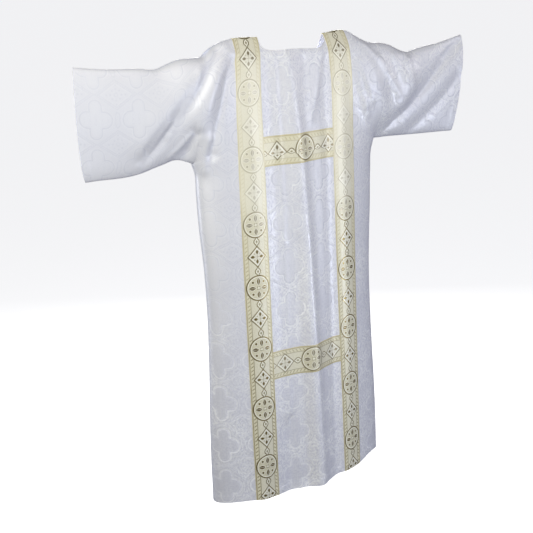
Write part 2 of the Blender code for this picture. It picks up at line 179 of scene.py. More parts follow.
# Side seams: z, half-width of the body.
SIDE_LINE = (
    (-LENGTH, 0.292),
    (-1.180, 0.291),
    (-1.050, 0.287),
    (-0.950, 0.282),
    (-0.850, 0.278),
    (-0.720, 0.275),
    (-0.600, 0.278),
    (-0.500, 0.284),
    (-0.400, 0.287),
    (-0.345, 0.290),
    (UNDERARM_Z, ARMHOLE_X),
)
# How far the hem is off its level: x, front, back.
HEM_LIFT = (
    (-0.292, 0.004, 0.004),
    (-0.240, 0.001, 0.000),
    (0.120, -0.002, 0.000),
    (0.190, 0.004, -0.006),
    (0.240, 0.014, -0.010),
    (0.270, 0.015, -0.004),
    (0.292, 0.012, 0.012),
)
# Hollow of the body: drop below the top line, depth of the front and of the back, y of the side seams.
BODY_DEPTH = (
    (0.00, 0.014, 0.008, 0.000),
    (0.05, 0.029, 0.020, 0.007),
    (0.10, 0.039, 0.044, 0.014),
    (0.20, 0.055, 0.080, 0.028),
    (0.32, 0.066, 0.102, 0.037),
    (0.60, 0.067, 0.100, 0.038),
    (0.95, 0.068, 0.098, 0.039),
    (1.31, 0.069, 0.098, 0.040),
)
# Hollow of the sleeve: |x|, depth in front of and behind its middle.
ARM_DEPTH = (
    (0.300, 0.046),
    (0.360, 0.038),
    (0.450, 0.030),
    (0.620, 0.022),
)
print("the top line is drawn through", len(TOP_LINE), "points, the side seam through", len(SIDE_LINE))

# %% Curves through the tables


def smooth_curve(knots, values, at):
    """Cubic curve through the table's points, with no overshoot at its ends."""
    knots = np.asarray(knots, float)
    values = np.asarray(values, float)
    slopes = np.gradient(values, knots)
    at = np.clip(at, knots[0], knots[-1])
    cell = np.clip(np.searchsorted(knots, at, side="right") - 1, 0, len(knots) - 2)
    width = knots[cell + 1] - knots[cell]
    t = (at - knots[cell]) / width
    start = (1 + 2 * t) * (1 - t) ** 2 * values[cell] + t * (1 - t) ** 2 * width * slopes[cell]
    end = t ** 2 * (3 - 2 * t) * values[cell + 1] + t ** 2 * (t - 1) * width * slopes[cell + 1]
    return start + end


def read(table, column, at):
    """Value of one column of a table at a place that its first column gives."""
    return smooth_curve([row[0] for row in table], [row[column] for row in table], at)


def by_side(table, x):
    """Value of a table that has one column for each side of the wearer."""
    return np.where(x < 0, read(table, 1, np.abs(x)), read(table, 2, np.abs(x)))


def smooth_step(low, high, value):
    t = np.clip((value - low) / (high - low), 0.0, 1.0)
    return t * t * (3 - 2 * t)


def half_width(z):
    return read(SIDE_LINE, 1, np.minimum(z, UNDERARM_Z))


def band_edge(level, hand, outer):
    """|x| of the edge of the vertical band on the wearer's RIGHT or LEFT."""
    return read(BAND_EDGES, (1 if hand == RIGHT else 3) + (1 if outer else 0), level)


def neckline(x, drop, squareness):
    """Height of the neck's edge, which runs from one band's inner edge to the other's."""
    half = np.where(x < 0, band_edge(0.0, RIGHT, False), band_edge(0.0, LEFT, False))
    reach = np.clip(np.abs(x) / half, 0.0, 1.0)
    return by_side(TOP_LINE, x) - drop * np.sqrt(1 - reach ** squareness)


print("the hem is", round(2 * float(half_width(-LENGTH)), 3), "m wide from side to side")

# %% [markdown]
# ## The folds
#
# Cloth that hangs from two shoulders and two outstretched arms falls in soft ridges and troughs. They
# could come from a cloth simulation, but a simulation puts its folds where it likes. Here each fold is
# one row: a bent line over the cloth, how wide the fold is on either side, and how far it stands out at
# its start and at its end, so that an artist can move one fold and leave the others alone.
#
# The first rows of each table are the broad folds that the plain model has too, some of them a little
# bent here. The rows after them are the fine creases.

# %% Tables of the folds
# All in mm: x and z of the start, middle and end, width towards -X and +X, height at the start and at
# the end. The last number is the sharpness: 2 is soft.
FRONT_FOLDS = (
    (-258, -28, -360, -132, -452, -240, 36, 16, 6, 5, 1.9),
    (-236, -26, -334, -162, -455, -289, 16, 18, -7, -6, 1.8),
    (-198, -38, -264, -118, -300, -240, 34, 18, 6, 6, 1.9),
    (-197, -55, -229, -158, -259, -290, 20, 16, -7, -7, 1.9),
    (215, -40, 275, -170, 330, -275, 30, 30, 6, 6, 2.0),
    (375, -80, 395, -150, 380, -220, 34, 34, 8, 8, 2.0),
    (605, -60, 465, -190, 335, -290, 30, 15, -12, -8, 1.6),
    (610, -165, 525, -242, 440, -308, 24, 18, -6, -5, 1.8),
    (-155, -40, -155, -650, -165, -1300, 28, 30, 4, 9, 2.0),
    (-80, -80, -72, -600, -68, -1300, 30, 28, -2, -11, 2.0),
    (-25, -40, 0, -600, 20, -1300, 34, 44, 4, 18, 2.0),
    (95, -80, 98, -600, 100, -1300, 24, 22, -4, -6, 2.0),
    (152, -40, 150, -650, 140, -1300, 28, 30, 4, 2, 2.0),
    (230, -500, 244, -950, 255, -1300, 55, 60, -2, -8, 2.0),
    # wearer's right shoulder: narrow ridges beside the broad folds, then the gathers under the arm
    (-298, -73, -326, -134, -385, -232, 8, 10, 3, 3, 1.7),
    (-205, -72, -222, -158, -252, -280, 8, 12, 3, 3, 1.8),
    (-308, -236, -318, -268, -332, -306, 22, 13, -12, -12, 1.9),
    (-319, -232, -346, -262, -376, -290, 8, 7, 5, 4, 1.8),
    (-272, -252, -280, -290, -282, -335, 13, 13, 7, 5, 2.0),
    (-385, -195, -425, -250, -462, -300, 10, 8, 3, 3, 1.6),
    # wearer's left shoulder
    (190, -60, 209, -137, 236, -216, 7, 9, 4, 3, 1.6),
    (208, -85, 238, -155, 258, -205, 7, 9, 4, 3, 1.6),
    (236, -200, 240, -220, 246, -240, 12, 12, 4, 3, 2.0),
    (236, -45, 312, -128, 358, -193, 8, 10, 5, 4, 1.6),
    (278, -78, 294, -94, 310, -110, 7, 8, 4, 3, 1.6),
    (336, -76, 360, -116, 384, -155, 8, 10, 5, 4, 1.6),
    (390, -78, 402, -140, 422, -182, 12, 14, 4, 3, 2.0),
    # under the neck and down the middle: ridges that are mostly soft towards -X and steep towards +X
    (-70, -50, -64, -300, -60, -560, 16, 8, 3, 3, 1.7),
    (-62, -560, -62, -800, -66, -1060, 30, 12, 3, 6, 1.8),
    (-30, -60, 4, -450, 30, -1300, 30, 18, 5, 6, 1.9),
    (-22, -560, -18, -920, -12, -1290, 20, 18, -3, -6, 2.0),
    (88, -50, 65, -140, 40, -230, 15, 12, 4, 3, 1.8),
    (24, -70, 26, -100, 22, -135, 16, 18, -4, -3, 2.0),
)
BACK_FOLDS = (
    (-215, -35, -290, -170, -340, -275, 30, 22, 10, 6, 2.0),
    (-285, -55, -400, -190, -500, -295, 26, 22, -10, -6, 2.0),
    (205, -35, 270, -170, 305, -280, 20, 34, 10, 8, 2.0),
    (250, -50, 345, -180, 450, -290, 22, 24, -10, -6, 2.0),
    (-150, -50, -148, -650, -156, -1300, 28, 30, 4, 8, 2.0),
    (-55, -100, -62, -600, -75, -1300, 32, 32, -3, -10, 2.0),
    (30, -60, 22, -600, 10, -1300, 36, 40, 5, 14, 2.0),
    (152, -50, 152, -650, 148, -1300, 30, 28, 4, 8, 2.0),
    # fine creases
    (-232, -60, -318, -180, -398, -270, 10, 8, 3, 2, 1.6),
    (-305, -70, -352, -150, -380, -220, 10, 10, 3, 2, 1.6),
    (238, -60, 306, -180, 366, -280, 8, 10, 3, 2, 1.6),
    (330, -80, 400, -170, 470, -250, 10, 10, 3, 2, 1.6),
    (-20, -70, -14, -400, -10, -900, 12, 13, 3, 2, 1.6),
    (70, -70, 74, -300, 78, -620, 12, 12, 3, 1, 1.7),
    (-85, -70, -92, -300, -98, -500, 11, 11, 2, 1, 1.7),
)
print(len(FRONT_FOLDS), "folds on the front and", len(BACK_FOLDS), "on the back")

# %% Height of the folds
FOLD_PATH_POINTS = 25  # points along the curve of a fold


def fold_height(x, z, folds):
    """Sum of soft ridges and troughs, each along a curve of three points."""
    height = np.zeros_like(x)
    steps = np.linspace(0.0, 1.0, FOLD_PATH_POINTS)
    for *lengths, sharpness in folds:
        x0, z0, x1, z1, x2, z2, width_right, width_left, rise_start, rise_end = (
            length / 1000 for length in lengths)
        weights = ((1 - steps) ** 2, 2 * steps * (1 - steps), steps ** 2)
        bend_x = 2 * x1 - (x0 + x2) / 2
        bend_z = 2 * z1 - (z0 + z2) / 2
        path_x = weights[0] * x0 + weights[1] * bend_x + weights[2] * x2
        path_z = weights[0] * z0 + weights[1] * bend_z + weights[2] * z2
        distance, along, side = nearest_on_path(x, z, path_x, path_z)
        width = np.where(side < 0, width_right, width_left)
        rise = rise_start + (rise_end - rise_start) * along
        height = height + rise * np.exp(-(distance / width) ** sharpness)
    return height


def nearest_on_path(x, z, path_x, path_z):
    """Distance of each point from a bent line, how far along it that is, and on which side in x."""
    best = np.full(x.shape, np.inf)
    along = np.zeros_like(x)
    side = np.zeros_like(x)
    spans = len(path_x) - 1
    for span in range(spans):
        dx = path_x[span + 1] - path_x[span]
        dz = path_z[span + 1] - path_z[span]
        t = ((x - path_x[span]) * dx + (z - path_z[span]) * dz) / (dx * dx + dz * dz)
        t = np.clip(t, 0.0, 1.0)
        away_x = x - path_x[span] - t * dx
        away_z = z - path_z[span] - t * dz
        distance = np.hypot(away_x, away_z)
        nearer = distance < best
        best = np.where(nearer, distance, best)
        along = np.where(nearer, (span + t) / spans, along)
        side = np.where(nearer, away_x, side)
    return best, along, side


hem_x = np.linspace(-half_width(-LENGTH), half_width(-LENGTH), 101)
hem_folds = fold_height(hem_x, np.full_like(hem_x, -LENGTH), FRONT_FOLDS)
print("folds at the front's hem stand", round(1000 * hem_folds.min(), 1), "to",
      round(1000 * hem_folds.max(), 1), "mm out")

# %% [markdown]
# ## Where the cloth hangs
#
# Front and back part at a surface that runs through the side seams. The cloth of the front lies a
# certain depth before it, the cloth of the back a certain depth behind it. That depth is the hollow
# that a wearer's body and arms leave, plus the folds.


# %% Depth of the cloth
def seam_y(x, z):
    """y of the surface that parts front from back."""
    drop = by_side(TOP_LINE, x) - z
    swing = CUFF_BACKSET * (np.abs(x) / CUFF_TOP_X) ** CUFF_SWING
    return read(BODY_DEPTH, 3, drop) + swing * (1 - np.clip(drop / -UNDERARM_Z, 0.0, 1.0))


def body_hollow(x, z, side):
    """Depth that the wearer's body gives the front or the back."""
    drop = np.maximum(by_side(TOP_LINE, x) - z, 0.0)
    roll = np.sqrt(1 - (1 - np.clip(drop / SHOULDER_ROUND, 0.0, 1.0)) ** 2)
    reach = np.clip(np.abs(x) / half_width(z), 0.0, 1.0)
    return read(BODY_DEPTH, 1 if side == FRONT else 2, drop) * roll * np.sqrt(1 - reach ** BODY_FULLNESS)


def arm_hollow(x, z):
    """Depth that an arm gives a sleeve, the same before and behind it."""
    top = by_side(TOP_LINE, x)
    down = np.clip((top - z) / (top - by_side(SLEEVE_BOTTOM, x)), 0.0, 1.0)
    height_of_fullness, roundness = ARM_SECTION
    section = np.sin(np.pi * down ** height_of_fullness) ** roundness
    return read(ARM_DEPTH, 1, np.abs(x)) * smooth_step(*ARM_FADE, np.abs(x)) * section


def depth(x, z, side):
    """Distance of the cloth from the seam surface."""
    body = body_hollow(x, z, side)
    arm = arm_hollow(x, z)
    hollow = (body ** ARM_BLEND + arm ** ARM_BLEND) ** (1 / ARM_BLEND)
    folds = fold_height(x, z, FRONT_FOLDS if side == FRONT else BACK_FOLDS)
    return hollow + folds * np.clip(hollow / FOLD_FADE_DEPTH, 0.0, 1.0)


def hem_lift(x, level, side):
    """Rise of a row below the lower crossbar, growing towards the hem."""
    fixed = KNEE_BAR_Z - BAND_WIDTH / 2
    share = np.clip((level - fixed) / (-LENGTH - fixed), 0.0, 1.0)
    return read(HEM_LIFT, 1 if side == FRONT else 2, x) * share


hem_depths = [float(depth(np.zeros(1), np.array([-LENGTH]), side)[0]) for side in (FRONT, BACK)]
print("at the hem the garment is", round(sum(hem_depths), 3), "m deep")

# %% [markdown]
# ## The grid of a panel
#
# A sheet of cloth is a grid of points. A plain even grid would miss the edges of the bands and the
# start of the hem, so the columns are set from the edges of the bands and the rows from the heights
# that a maker marks: the crossbars, the underarm, the fold of the hem. Front and back use the same
# heights, so their seams meet point by point. The rows are closest over the roll of the shoulder.

# %% Rows and columns
NECK_CELLS = 27  # from the middle column to a band
BAND_CELLS = 18  # across a band
SIDE_CELLS = 32  # from a band to the side seam
ROLL_ROWS = 16  # rows over the roll of the shoulder
UPPER_STEP = 0.0045  # between rows above the underarm
LOWER_STEP = 0.0072  # between rows below it
HEM_DEPTH = 0.022  # the turned hem of the body and of the cuffs
HEM_STEP = 0.0025  # over this height the hem's extra layer shows as a step
HEM_RISE = 0.0004  # and stands this far proud
FLAT_LEVEL = -0.064  # first row that lies at one height all across
UNDERARM_ROWS = (0.009, 0.006, 0.0035, 0.0015, 0.0005, 0.0)  # rows close above the underarm


def evenly(start, end, step):
    """Heights from start to end, the start left out, about a step apart."""
    count = max(1, round(abs(end - start) / step))
    return [start + (end - start) * number / count for number in range(1, count + 1)]


def row_heights():
    """z of the rows below the roll of the shoulder, close enough together to meet every mark."""
    underarm = [UNDERARM_Z + above for above in UNDERARM_ROWS]
    chest = [CHEST_BAR_Z + BAND_WIDTH / 2, *underarm, CHEST_BAR_Z - BAND_WIDTH / 2]
    knee = [KNEE_BAR_Z + BAND_WIDTH / 2, KNEE_BAR_Z - BAND_WIDTH / 2]
    hem = [-LENGTH + HEM_DEPTH + HEM_STEP / 2, -LENGTH + HEM_DEPTH - HEM_STEP / 2, -LENGTH]
    heights = [FLAT_LEVEL]
    steps = [UPPER_STEP] * len(chest) + [LOWER_STEP] * len(knee + hem)
    for mark, step in zip(chest + knee + hem, steps):
        heights += evenly(heights[-1], mark, step)
    return heights


def half_row(level, hand):
    """|x| of a row's points: evenly to the band and over it, then by equal angles to the side seam."""
    start = float(band_edge(level, hand, False))
    end = float(band_edge(level, hand, True))
    seam = float(half_width(np.array(level)))
    neck = [start * cell / NECK_CELLS for cell in range(NECK_CELLS)]
    band = [start + (end - start) * cell / BAND_CELLS for cell in range(BAND_CELLS + 1)]
    first = math.asin(end / seam)
    turn = (math.pi / 2 - first) / SIDE_CELLS
    return neck + band + [seam * math.sin(first + turn * cell) for cell in range(1, SIDE_CELLS + 1)]


def row_points(level):
    """x of a row's points, from the side seam on the wearer's right to the one on the left."""
    mirrored = [-value for value in half_row(level, RIGHT)[:0:-1]]
    return np.array(mirrored + half_row(level, LEFT))


def column_numbers(count):
    """Number of each column, counted from the middle one: negative on the wearer's right."""
    return np.arange(count) - count // 2


HEIGHTS = row_heights()
print(len(HEIGHTS) + ROLL_ROWS, "rows of", len(row_points(-LENGTH)), "points")

# %% Points of a panel


def panel_middle(side):
    """x and z of a panel's points, row by row from the neck and shoulder to the hem."""
    neck = NECK_FRONT if side == FRONT else NECK_BACK
    xs = []
    zs = []
    for number in range(ROLL_ROWS):
        roll = 1 - math.cos(math.pi / 2 * number / ROLL_ROWS)
        row = row_points(FLAT_LEVEL * roll)
        top = by_side(TOP_LINE, row)
        in_neck = np.abs(column_numbers(len(row))) < NECK_CELLS
        start = np.where(in_neck, neckline(row, *neck), top)
        xs.append(row)
        zs.append(start + (FLAT_LEVEL - start) * roll)
    for level in HEIGHTS:
        row = row_points(level)
        xs.append(row)
        zs.append(level + hem_lift(row, level, side))
    return np.array(xs), np.array(zs)


print("a panel has", panel_middle(FRONT)[0].size, "points")

# %% Face of a panel


def unit(vectors):
    return vectors / np.linalg.norm(vectors, axis=-1, keepdims=True)


def facing(points, outward):
    """Unit normals of a grid of points, turned towards the side that outward gives."""
    normals = unit(np.cross(np.gradient(points, axis=1), np.gradient(points, axis=0)))
    signs = np.sign(np.sum(normals * outward, -1, keepdims=True))
    return normals * np.where(signs == 0, 1, signs)


def lengths_along(points, axis, origin):
    """Length along the cloth from one row or column to every other."""
    steps = np.linalg.norm(np.diff(points, axis=axis), axis=-1)
    total = np.insert(np.cumsum(steps, axis=axis), 0, 0.0, axis=axis)
    return total - np.take(total, [origin], axis=axis)


def hem_share(distance):
    """1 on the doubled cloth of a hem, 0 above it."""
    return 1 - smooth_step(HEM_DEPTH - HEM_STEP / 2, HEM_DEPTH + HEM_STEP / 2, distance)


def panel(side):
    """Outer face of a panel, its normals, and lengths across and down the cloth."""
    x, z = panel_middle(side)
    y = seam_y(x, z) + side * depth(x, z, side)
    # points on the shoulder line and the side seams meet those of the other panel
    columns = column_numbers(x.shape[1])
    rim = np.abs(columns) == columns[-1]
    shoulder = np.zeros(x.shape, bool)
    shoulder[0] = np.abs(columns) >= NECK_CELLS
    side_seam = np.broadcast_to(rim, x.shape) & (z <= UNDERARM_Z + SEAM_GAP)
    sewn = shoulder | side_seam
    y[sewn] = (seam_y(x, z) + side * SEAM_GAP / 2)[sewn]
    points = np.stack((x, y, z), -1)
    # along a seam the cloth's wall turns square to the seam, so that both walls lie edge to edge
    normals = facing(points, np.array((0.0, side, 0.0)))
    ease = np.where(z > UNDERARM_Z - SEAM_GAP, smooth_step(0.0, SEAM_EASE, ARMHOLE_X - np.abs(x)), 1.0)
    normals[..., 0] *= ease
    normals[side_seam] = np.stack((np.sign(x), 0 * x, 0 * x), -1)[side_seam]
    normals[shoulder] = (0.0, 0.0, 1.0)
    normals = unit(normals)
    rise = CLOTH_OUTER + HEM_RISE * hem_share(z - hem_lift(x, z, side) + LENGTH)
    across = lengths_along(points, 1, x.shape[1] // 2)
    down = -FLAT_LEVEL + lengths_along(points, 0, ROLL_ROWS)
    return points + normals * rise[..., None], normals, np.stack((across, -down), -1)


front, back = panel(FRONT), panel(BACK)
panels = {"front_cloth": front, "back_cloth": back}
for name, grid in panels.items():
    width, length = np.ptp(grid[2], axis=(0, 1))
    print(f"{name} is {width:.3f} m across at its widest and {length:.3f} m long")

# %% [markdown]
# ## From points to cloth
#
# A woven sheet has two faces and an edge. One way is to model both faces; the simpler way used here is
# a grid primitive whose points are moved into place, and a Solidify modifier that adds the inner face
# and the edge. The grid carries a UV map in metres of cloth, so that a woven pattern keeps its size and
# bends with the folds as it does on real cloth.

# %% Sheet from a grid
CLOTH_THICKNESS = 0.0012  # damask with its soft backing
SHARP_ANGLE = math.radians(50)
made_pieces = {}  # by name: the sheet, its area in square metres and its length map


def deselect_all():
    bpy.ops.object.select_all(action="DESELECT")


def cloth_grid(name, points, marks, map_name, outward):
    """A grid primitive of as many points as given, moved into place; marks are its UV map in metres."""
    rows, columns = points.shape[:2]
    deselect_all()
    bpy.ops.mesh.primitive_grid_add(x_subdivisions=columns - 1, y_subdivisions=rows - 1, size=1.0)
    piece = bpy.context.object
    piece.name = name
    mesh = piece.data
    mesh.name = name
    mesh.vertices.foreach_set("co", points.reshape(-1))
    corner_points = np.zeros(len(mesh.loops), np.int32)
    mesh.loops.foreach_get("vertex_index", corner_points)
    mesh.uv_layers[0].name = map_name
    mesh.uv_layers[0].data.foreach_set("uv", marks.reshape(-1, 2)[corner_points].reshape(-1))
    mesh.update()
    face_normals = np.zeros(len(mesh.polygons) * 3)
    mesh.polygons.foreach_get("normal", face_normals)
    middle = outward.reshape(rows, columns, 3)[:-1, :-1].reshape(-1, 3)
    if np.sum(face_normals.reshape(-1, 3) * middle) < 0:
        bpy.ops.object.mode_set(mode="EDIT")
        bpy.ops.mesh.select_all(action="SELECT")
        bpy.ops.mesh.flip_normals()
        bpy.ops.object.mode_set(mode="OBJECT")
    return piece


def give_thickness(piece, thickness):
    """Wall inwards from the modelled face, then soft shading with crisp edges."""
    deselect_all()
    bpy.context.view_layer.objects.active = piece
    piece.select_set(True)
    wall = piece.modifiers.new("wall", "SOLIDIFY")
    wall.thickness = thickness
    wall.offset = -1.0
    bpy.ops.object.modifier_apply(modifier="wall")
    bpy.ops.object.shade_smooth_by_angle(angle=SHARP_ANGLE)


def area_of(points):
    """Area of a grid of points, in square metres."""
    first = np.cross(points[1:, :-1] - points[:-1, :-1], points[:-1, 1:] - points[:-1, :-1])
    second = np.cross(points[1:, :-1] - points[1:, 1:], points[:-1, 1:] - points[1:, 1:])
    return float(np.linalg.norm(first, axis=-1).sum() + np.linalg.norm(second, axis=-1).sum()) / 2


def add_cloth(name, points, normals, marks, map_name="cloth", thickness=CLOTH_THICKNESS):
    piece = cloth_grid(name, points, marks, map_name, normals)
    give_thickness(piece, thickness)
    area = area_of(points - normals * thickness / 2)
    made_pieces[name] = (piece, area, marks)
    print(name, "has", len(piece.data.polygons), "faces and", round(area, 4), "m2 of cloth")


for name, grid in panels.items():
    add_cloth(name, *grid)

# %% [markdown]
# ## The sleeves
#
# A dalmatic's sleeve is a straight piece of cloth, folded over the top and closed by a seam under the
# arm. A tube primitive would have no seam, so the sleeve is one more sheet: rolled from the seam up the
# front, over the top and down the back, until its two long edges lie beside each other again.

# %% Points of a sleeve
SLEEVE_STEP = 0.0048  # between columns along the sleeve


def armhole_rows(hand):
    """How far down the armhole each row of a panel lies: 0 at the shoulder, 1 under the arm."""
    heights = panel_middle(FRONT)[1][:, -1 if hand == LEFT else 0]
    heights = heights[heights > UNDERARM_Z - SEAM_GAP]
    return (heights[0] - heights) / (heights[0] - heights[-1])


def sleeve(hand):
    """Outer face of a sleeve, its normals and the lengths along and around it."""
    rows = armhole_rows(hand)
    crest = len(rows) - 1
    down = np.concatenate((rows[::-1], rows[1:]))[:, None]
    numbers = np.arange(len(down))[:, None]
    start = ARMHOLE_X + SEAM_GAP
    bow = np.where(numbers < crest, *CUFF_BOW[hand]) * 2 * np.sqrt(down * (1 - down))
    end = CUFF_TOP_X - CUFF_SLANT * down + bow
    # columns from the armhole to the two sides of the hem's step and to the cuff
    shares = [0.0]
    reach = CUFF_TOP_X - start
    for from_cuff in (HEM_DEPTH + HEM_STEP / 2, HEM_DEPTH - HEM_STEP / 2, 0.0):
        shares += evenly(shares[-1], 1 - from_cuff / reach, SLEEVE_STEP / reach)
    x = hand * (start + (end - start) * np.array(shares)[None, :])
    top = by_side(TOP_LINE, x)
    z = top + (by_side(SLEEVE_BOTTOM, x) - top) * down
    # up the front, over the top fold and down the back; the first and last rows are the seam
    before = seam_y(x, z) - depth(x, z, FRONT)
    behind = seam_y(x, z) + depth(x, z, BACK)
    y = np.where(numbers < crest, before, behind)
    y[crest] = seam_y(x[crest], z[crest])
    y[0] = seam_y(x[0], z[0]) - SEAM_GAP / 2
    y[-1] = seam_y(x[-1], z[-1]) + SEAM_GAP / 2
    points = np.stack((x, y, z), -1)
    middle = np.stack((x, seam_y(x, z), (top + by_side(SLEEVE_BOTTOM, x)) / 2), -1)
    normals = facing(points, points - middle)
    normals[(0, -1), :] = (0.0, 0.0, -1.0)
    normals[..., 0] *= smooth_step(0.0, SEAM_EASE, np.abs(x) - start)
    normals[:, -1, 0] = 0.0
    normals = unit(normals)
    rise = CLOTH_OUTER + HEM_RISE * hem_share(np.abs(end) - np.abs(x))
    along = hand * (SEAM_GAP + lengths_along(points, 1, 0)) + front[2][..., 0].max() * hand
    around = lengths_along(points, 0, crest)
    return points + normals * rise[..., None], normals, np.stack((along, around), -1)


sleeves = {"sleeve_right_cloth": sleeve(RIGHT), "sleeve_left_cloth": sleeve(LEFT)}
for name, grid in sleeves.items():
    add_cloth(name, *grid)

# %% [markdown]
# ## The woven bands
#
# The band is a ribbon about 8 cm wide, woven in one piece and sewn flat onto the damask by its two
# edges. It follows every fold of the cloth under it. It could be painted on the damask, but a real
# ribbon has a thickness that catches light at its edges, so each band is a sheet of its own: the
# damask's points under it, moved out by a hair, with a UV map of lengths across and along the ribbon.

# %% Sheets of the bands
BAND_THICKNESS = 0.0009
BAND_LIFT = SEAM_GAP + BAND_THICKNESS  # outer face of the band above the outer face of the damask
MOTIF_LENGTH = 0.1771  # one circle and one diamond of the band's design
CIRCLE_Z = -0.6712  # height of one of the circles
CHEST_CIRCLE_X = 0.012  # x of the circle on each crossbar
KNEE_CIRCLE_X = 0.008


def band_marks(points):
    """Lengths across and along a band whose columns run across it."""
    columns = points.shape[1]
    across = (np.arange(columns) / (columns - 1) - 0.5) * BAND_WIDTH
    along = lengths_along(points, 0, 0)[:, columns // 2]
    return np.stack(np.broadcast_arrays(across[None, :], along[:, None]), -1).copy()


def vertical_band(hand):
    """One ribbon: up the front, over the shoulder and down the back."""
    numbers = column_numbers(front[0].shape[1]) * hand
    chosen = (numbers >= NECK_CELLS) & (numbers <= NECK_CELLS + BAND_CELLS)
    points = np.concatenate((front[0][::-1, chosen], back[0][1:, chosen]))
    normals = np.concatenate((front[1][::-1, chosen], back[1][1:, chosen]))
    crest = len(front[0]) - 1
    points[crest, :, 1] += SEAM_GAP / 2  # the front's shoulder line, moved onto the seam itself
    marks = band_marks(points)
    circle_row = int(np.argmin(np.abs(points[:crest, BAND_CELLS // 2, 2] - CIRCLE_Z)))
    shift = points[circle_row, BAND_CELLS // 2, 2] - CIRCLE_Z
    marks[..., 1] -= marks[circle_row, 0, 1] - shift
    return points + normals * BAND_LIFT, normals, marks


def crossbar(centre_z, circle_x):
    """A length of ribbon across the front, a seam gap short of the upright bands."""
    points, normals = front[:2]
    columns = np.abs(column_numbers(points.shape[1])) <= NECK_CELLS
    heights = panel_middle(FRONT)[1][:, points.shape[1] // 2]
    rows = np.abs(heights - centre_z) < BAND_WIDTH / 2 + SEAM_GAP
    points = points[rows][:, columns].copy()
    normals = normals[rows][:, columns].copy()
    for end, beside in ((0, 1), (-1, -2)):
        step = points[:, beside] - points[:, end]
        points[:, end] += step * (SEAM_GAP / np.abs(step[:, :1]))
    points = points.transpose(1, 0, 2)
    normals = normals.transpose(1, 0, 2)
    marks = band_marks(points)
    middle = points.shape[1] // 2
    marks[..., 1] -= np.interp(circle_x, points[:, middle, 0], marks[:, middle, 1])
    return points + normals * BAND_LIFT, normals, marks


bands = {
    "orphrey_right_band": vertical_band(RIGHT),
    "orphrey_left_band": vertical_band(LEFT),
    "crossbar_chest_band": crossbar(CHEST_BAR_Z, CHEST_CIRCLE_X),
    "crossbar_knee_band": crossbar(KNEE_BAR_Z, KNEE_CIRCLE_X),
}
for name, grid in bands.items():
    add_cloth(name, *grid, map_name="band", thickness=BAND_THICKNESS)

# %% [markdown]
# ## A way to write patterns as sums
#
# A woven pattern is arithmetic on the lengths across and along the cloth. In the shader editor each sum
# is one Math node, and a chart of leaves and rings soon fills the screen. Here a small class wraps a
# node's socket, so that an ordinary Python expression adds the nodes. Numbers that do not vary are
# worked out in Python first. Where a finish adds up many parts, a table gives the share of each.

# %% Signals


def adds_node(operation, swapped=False):
    """A method of Signal that adds one Math node."""
    def method(self, other):
        return self.desk.maths(operation, *((other, self) if swapped else (self, other)))
    return method


class Signal:
    """A number that varies over the cloth; arithmetic on it adds Math nodes."""

    def __init__(self, desk, socket):
        self.desk = desk
        self.socket = socket

    def __abs__(self):
        return self.desk.maths("ABSOLUTE", self)

    __add__ = __radd__ = adds_node("ADD")
    __sub__ = adds_node("SUBTRACT")
    __rsub__ = adds_node("SUBTRACT", swapped=True)
    __mul__ = __rmul__ = adds_node("MULTIPLY")
    __truediv__ = adds_node("DIVIDE")
    __pow__ = adds_node("POWER")


print("Signal:", Signal.__doc__)

# %% The desk on which signals are wired
SOFT_EDGE = 0.6  # mm over which a mask falls from 1 to 0


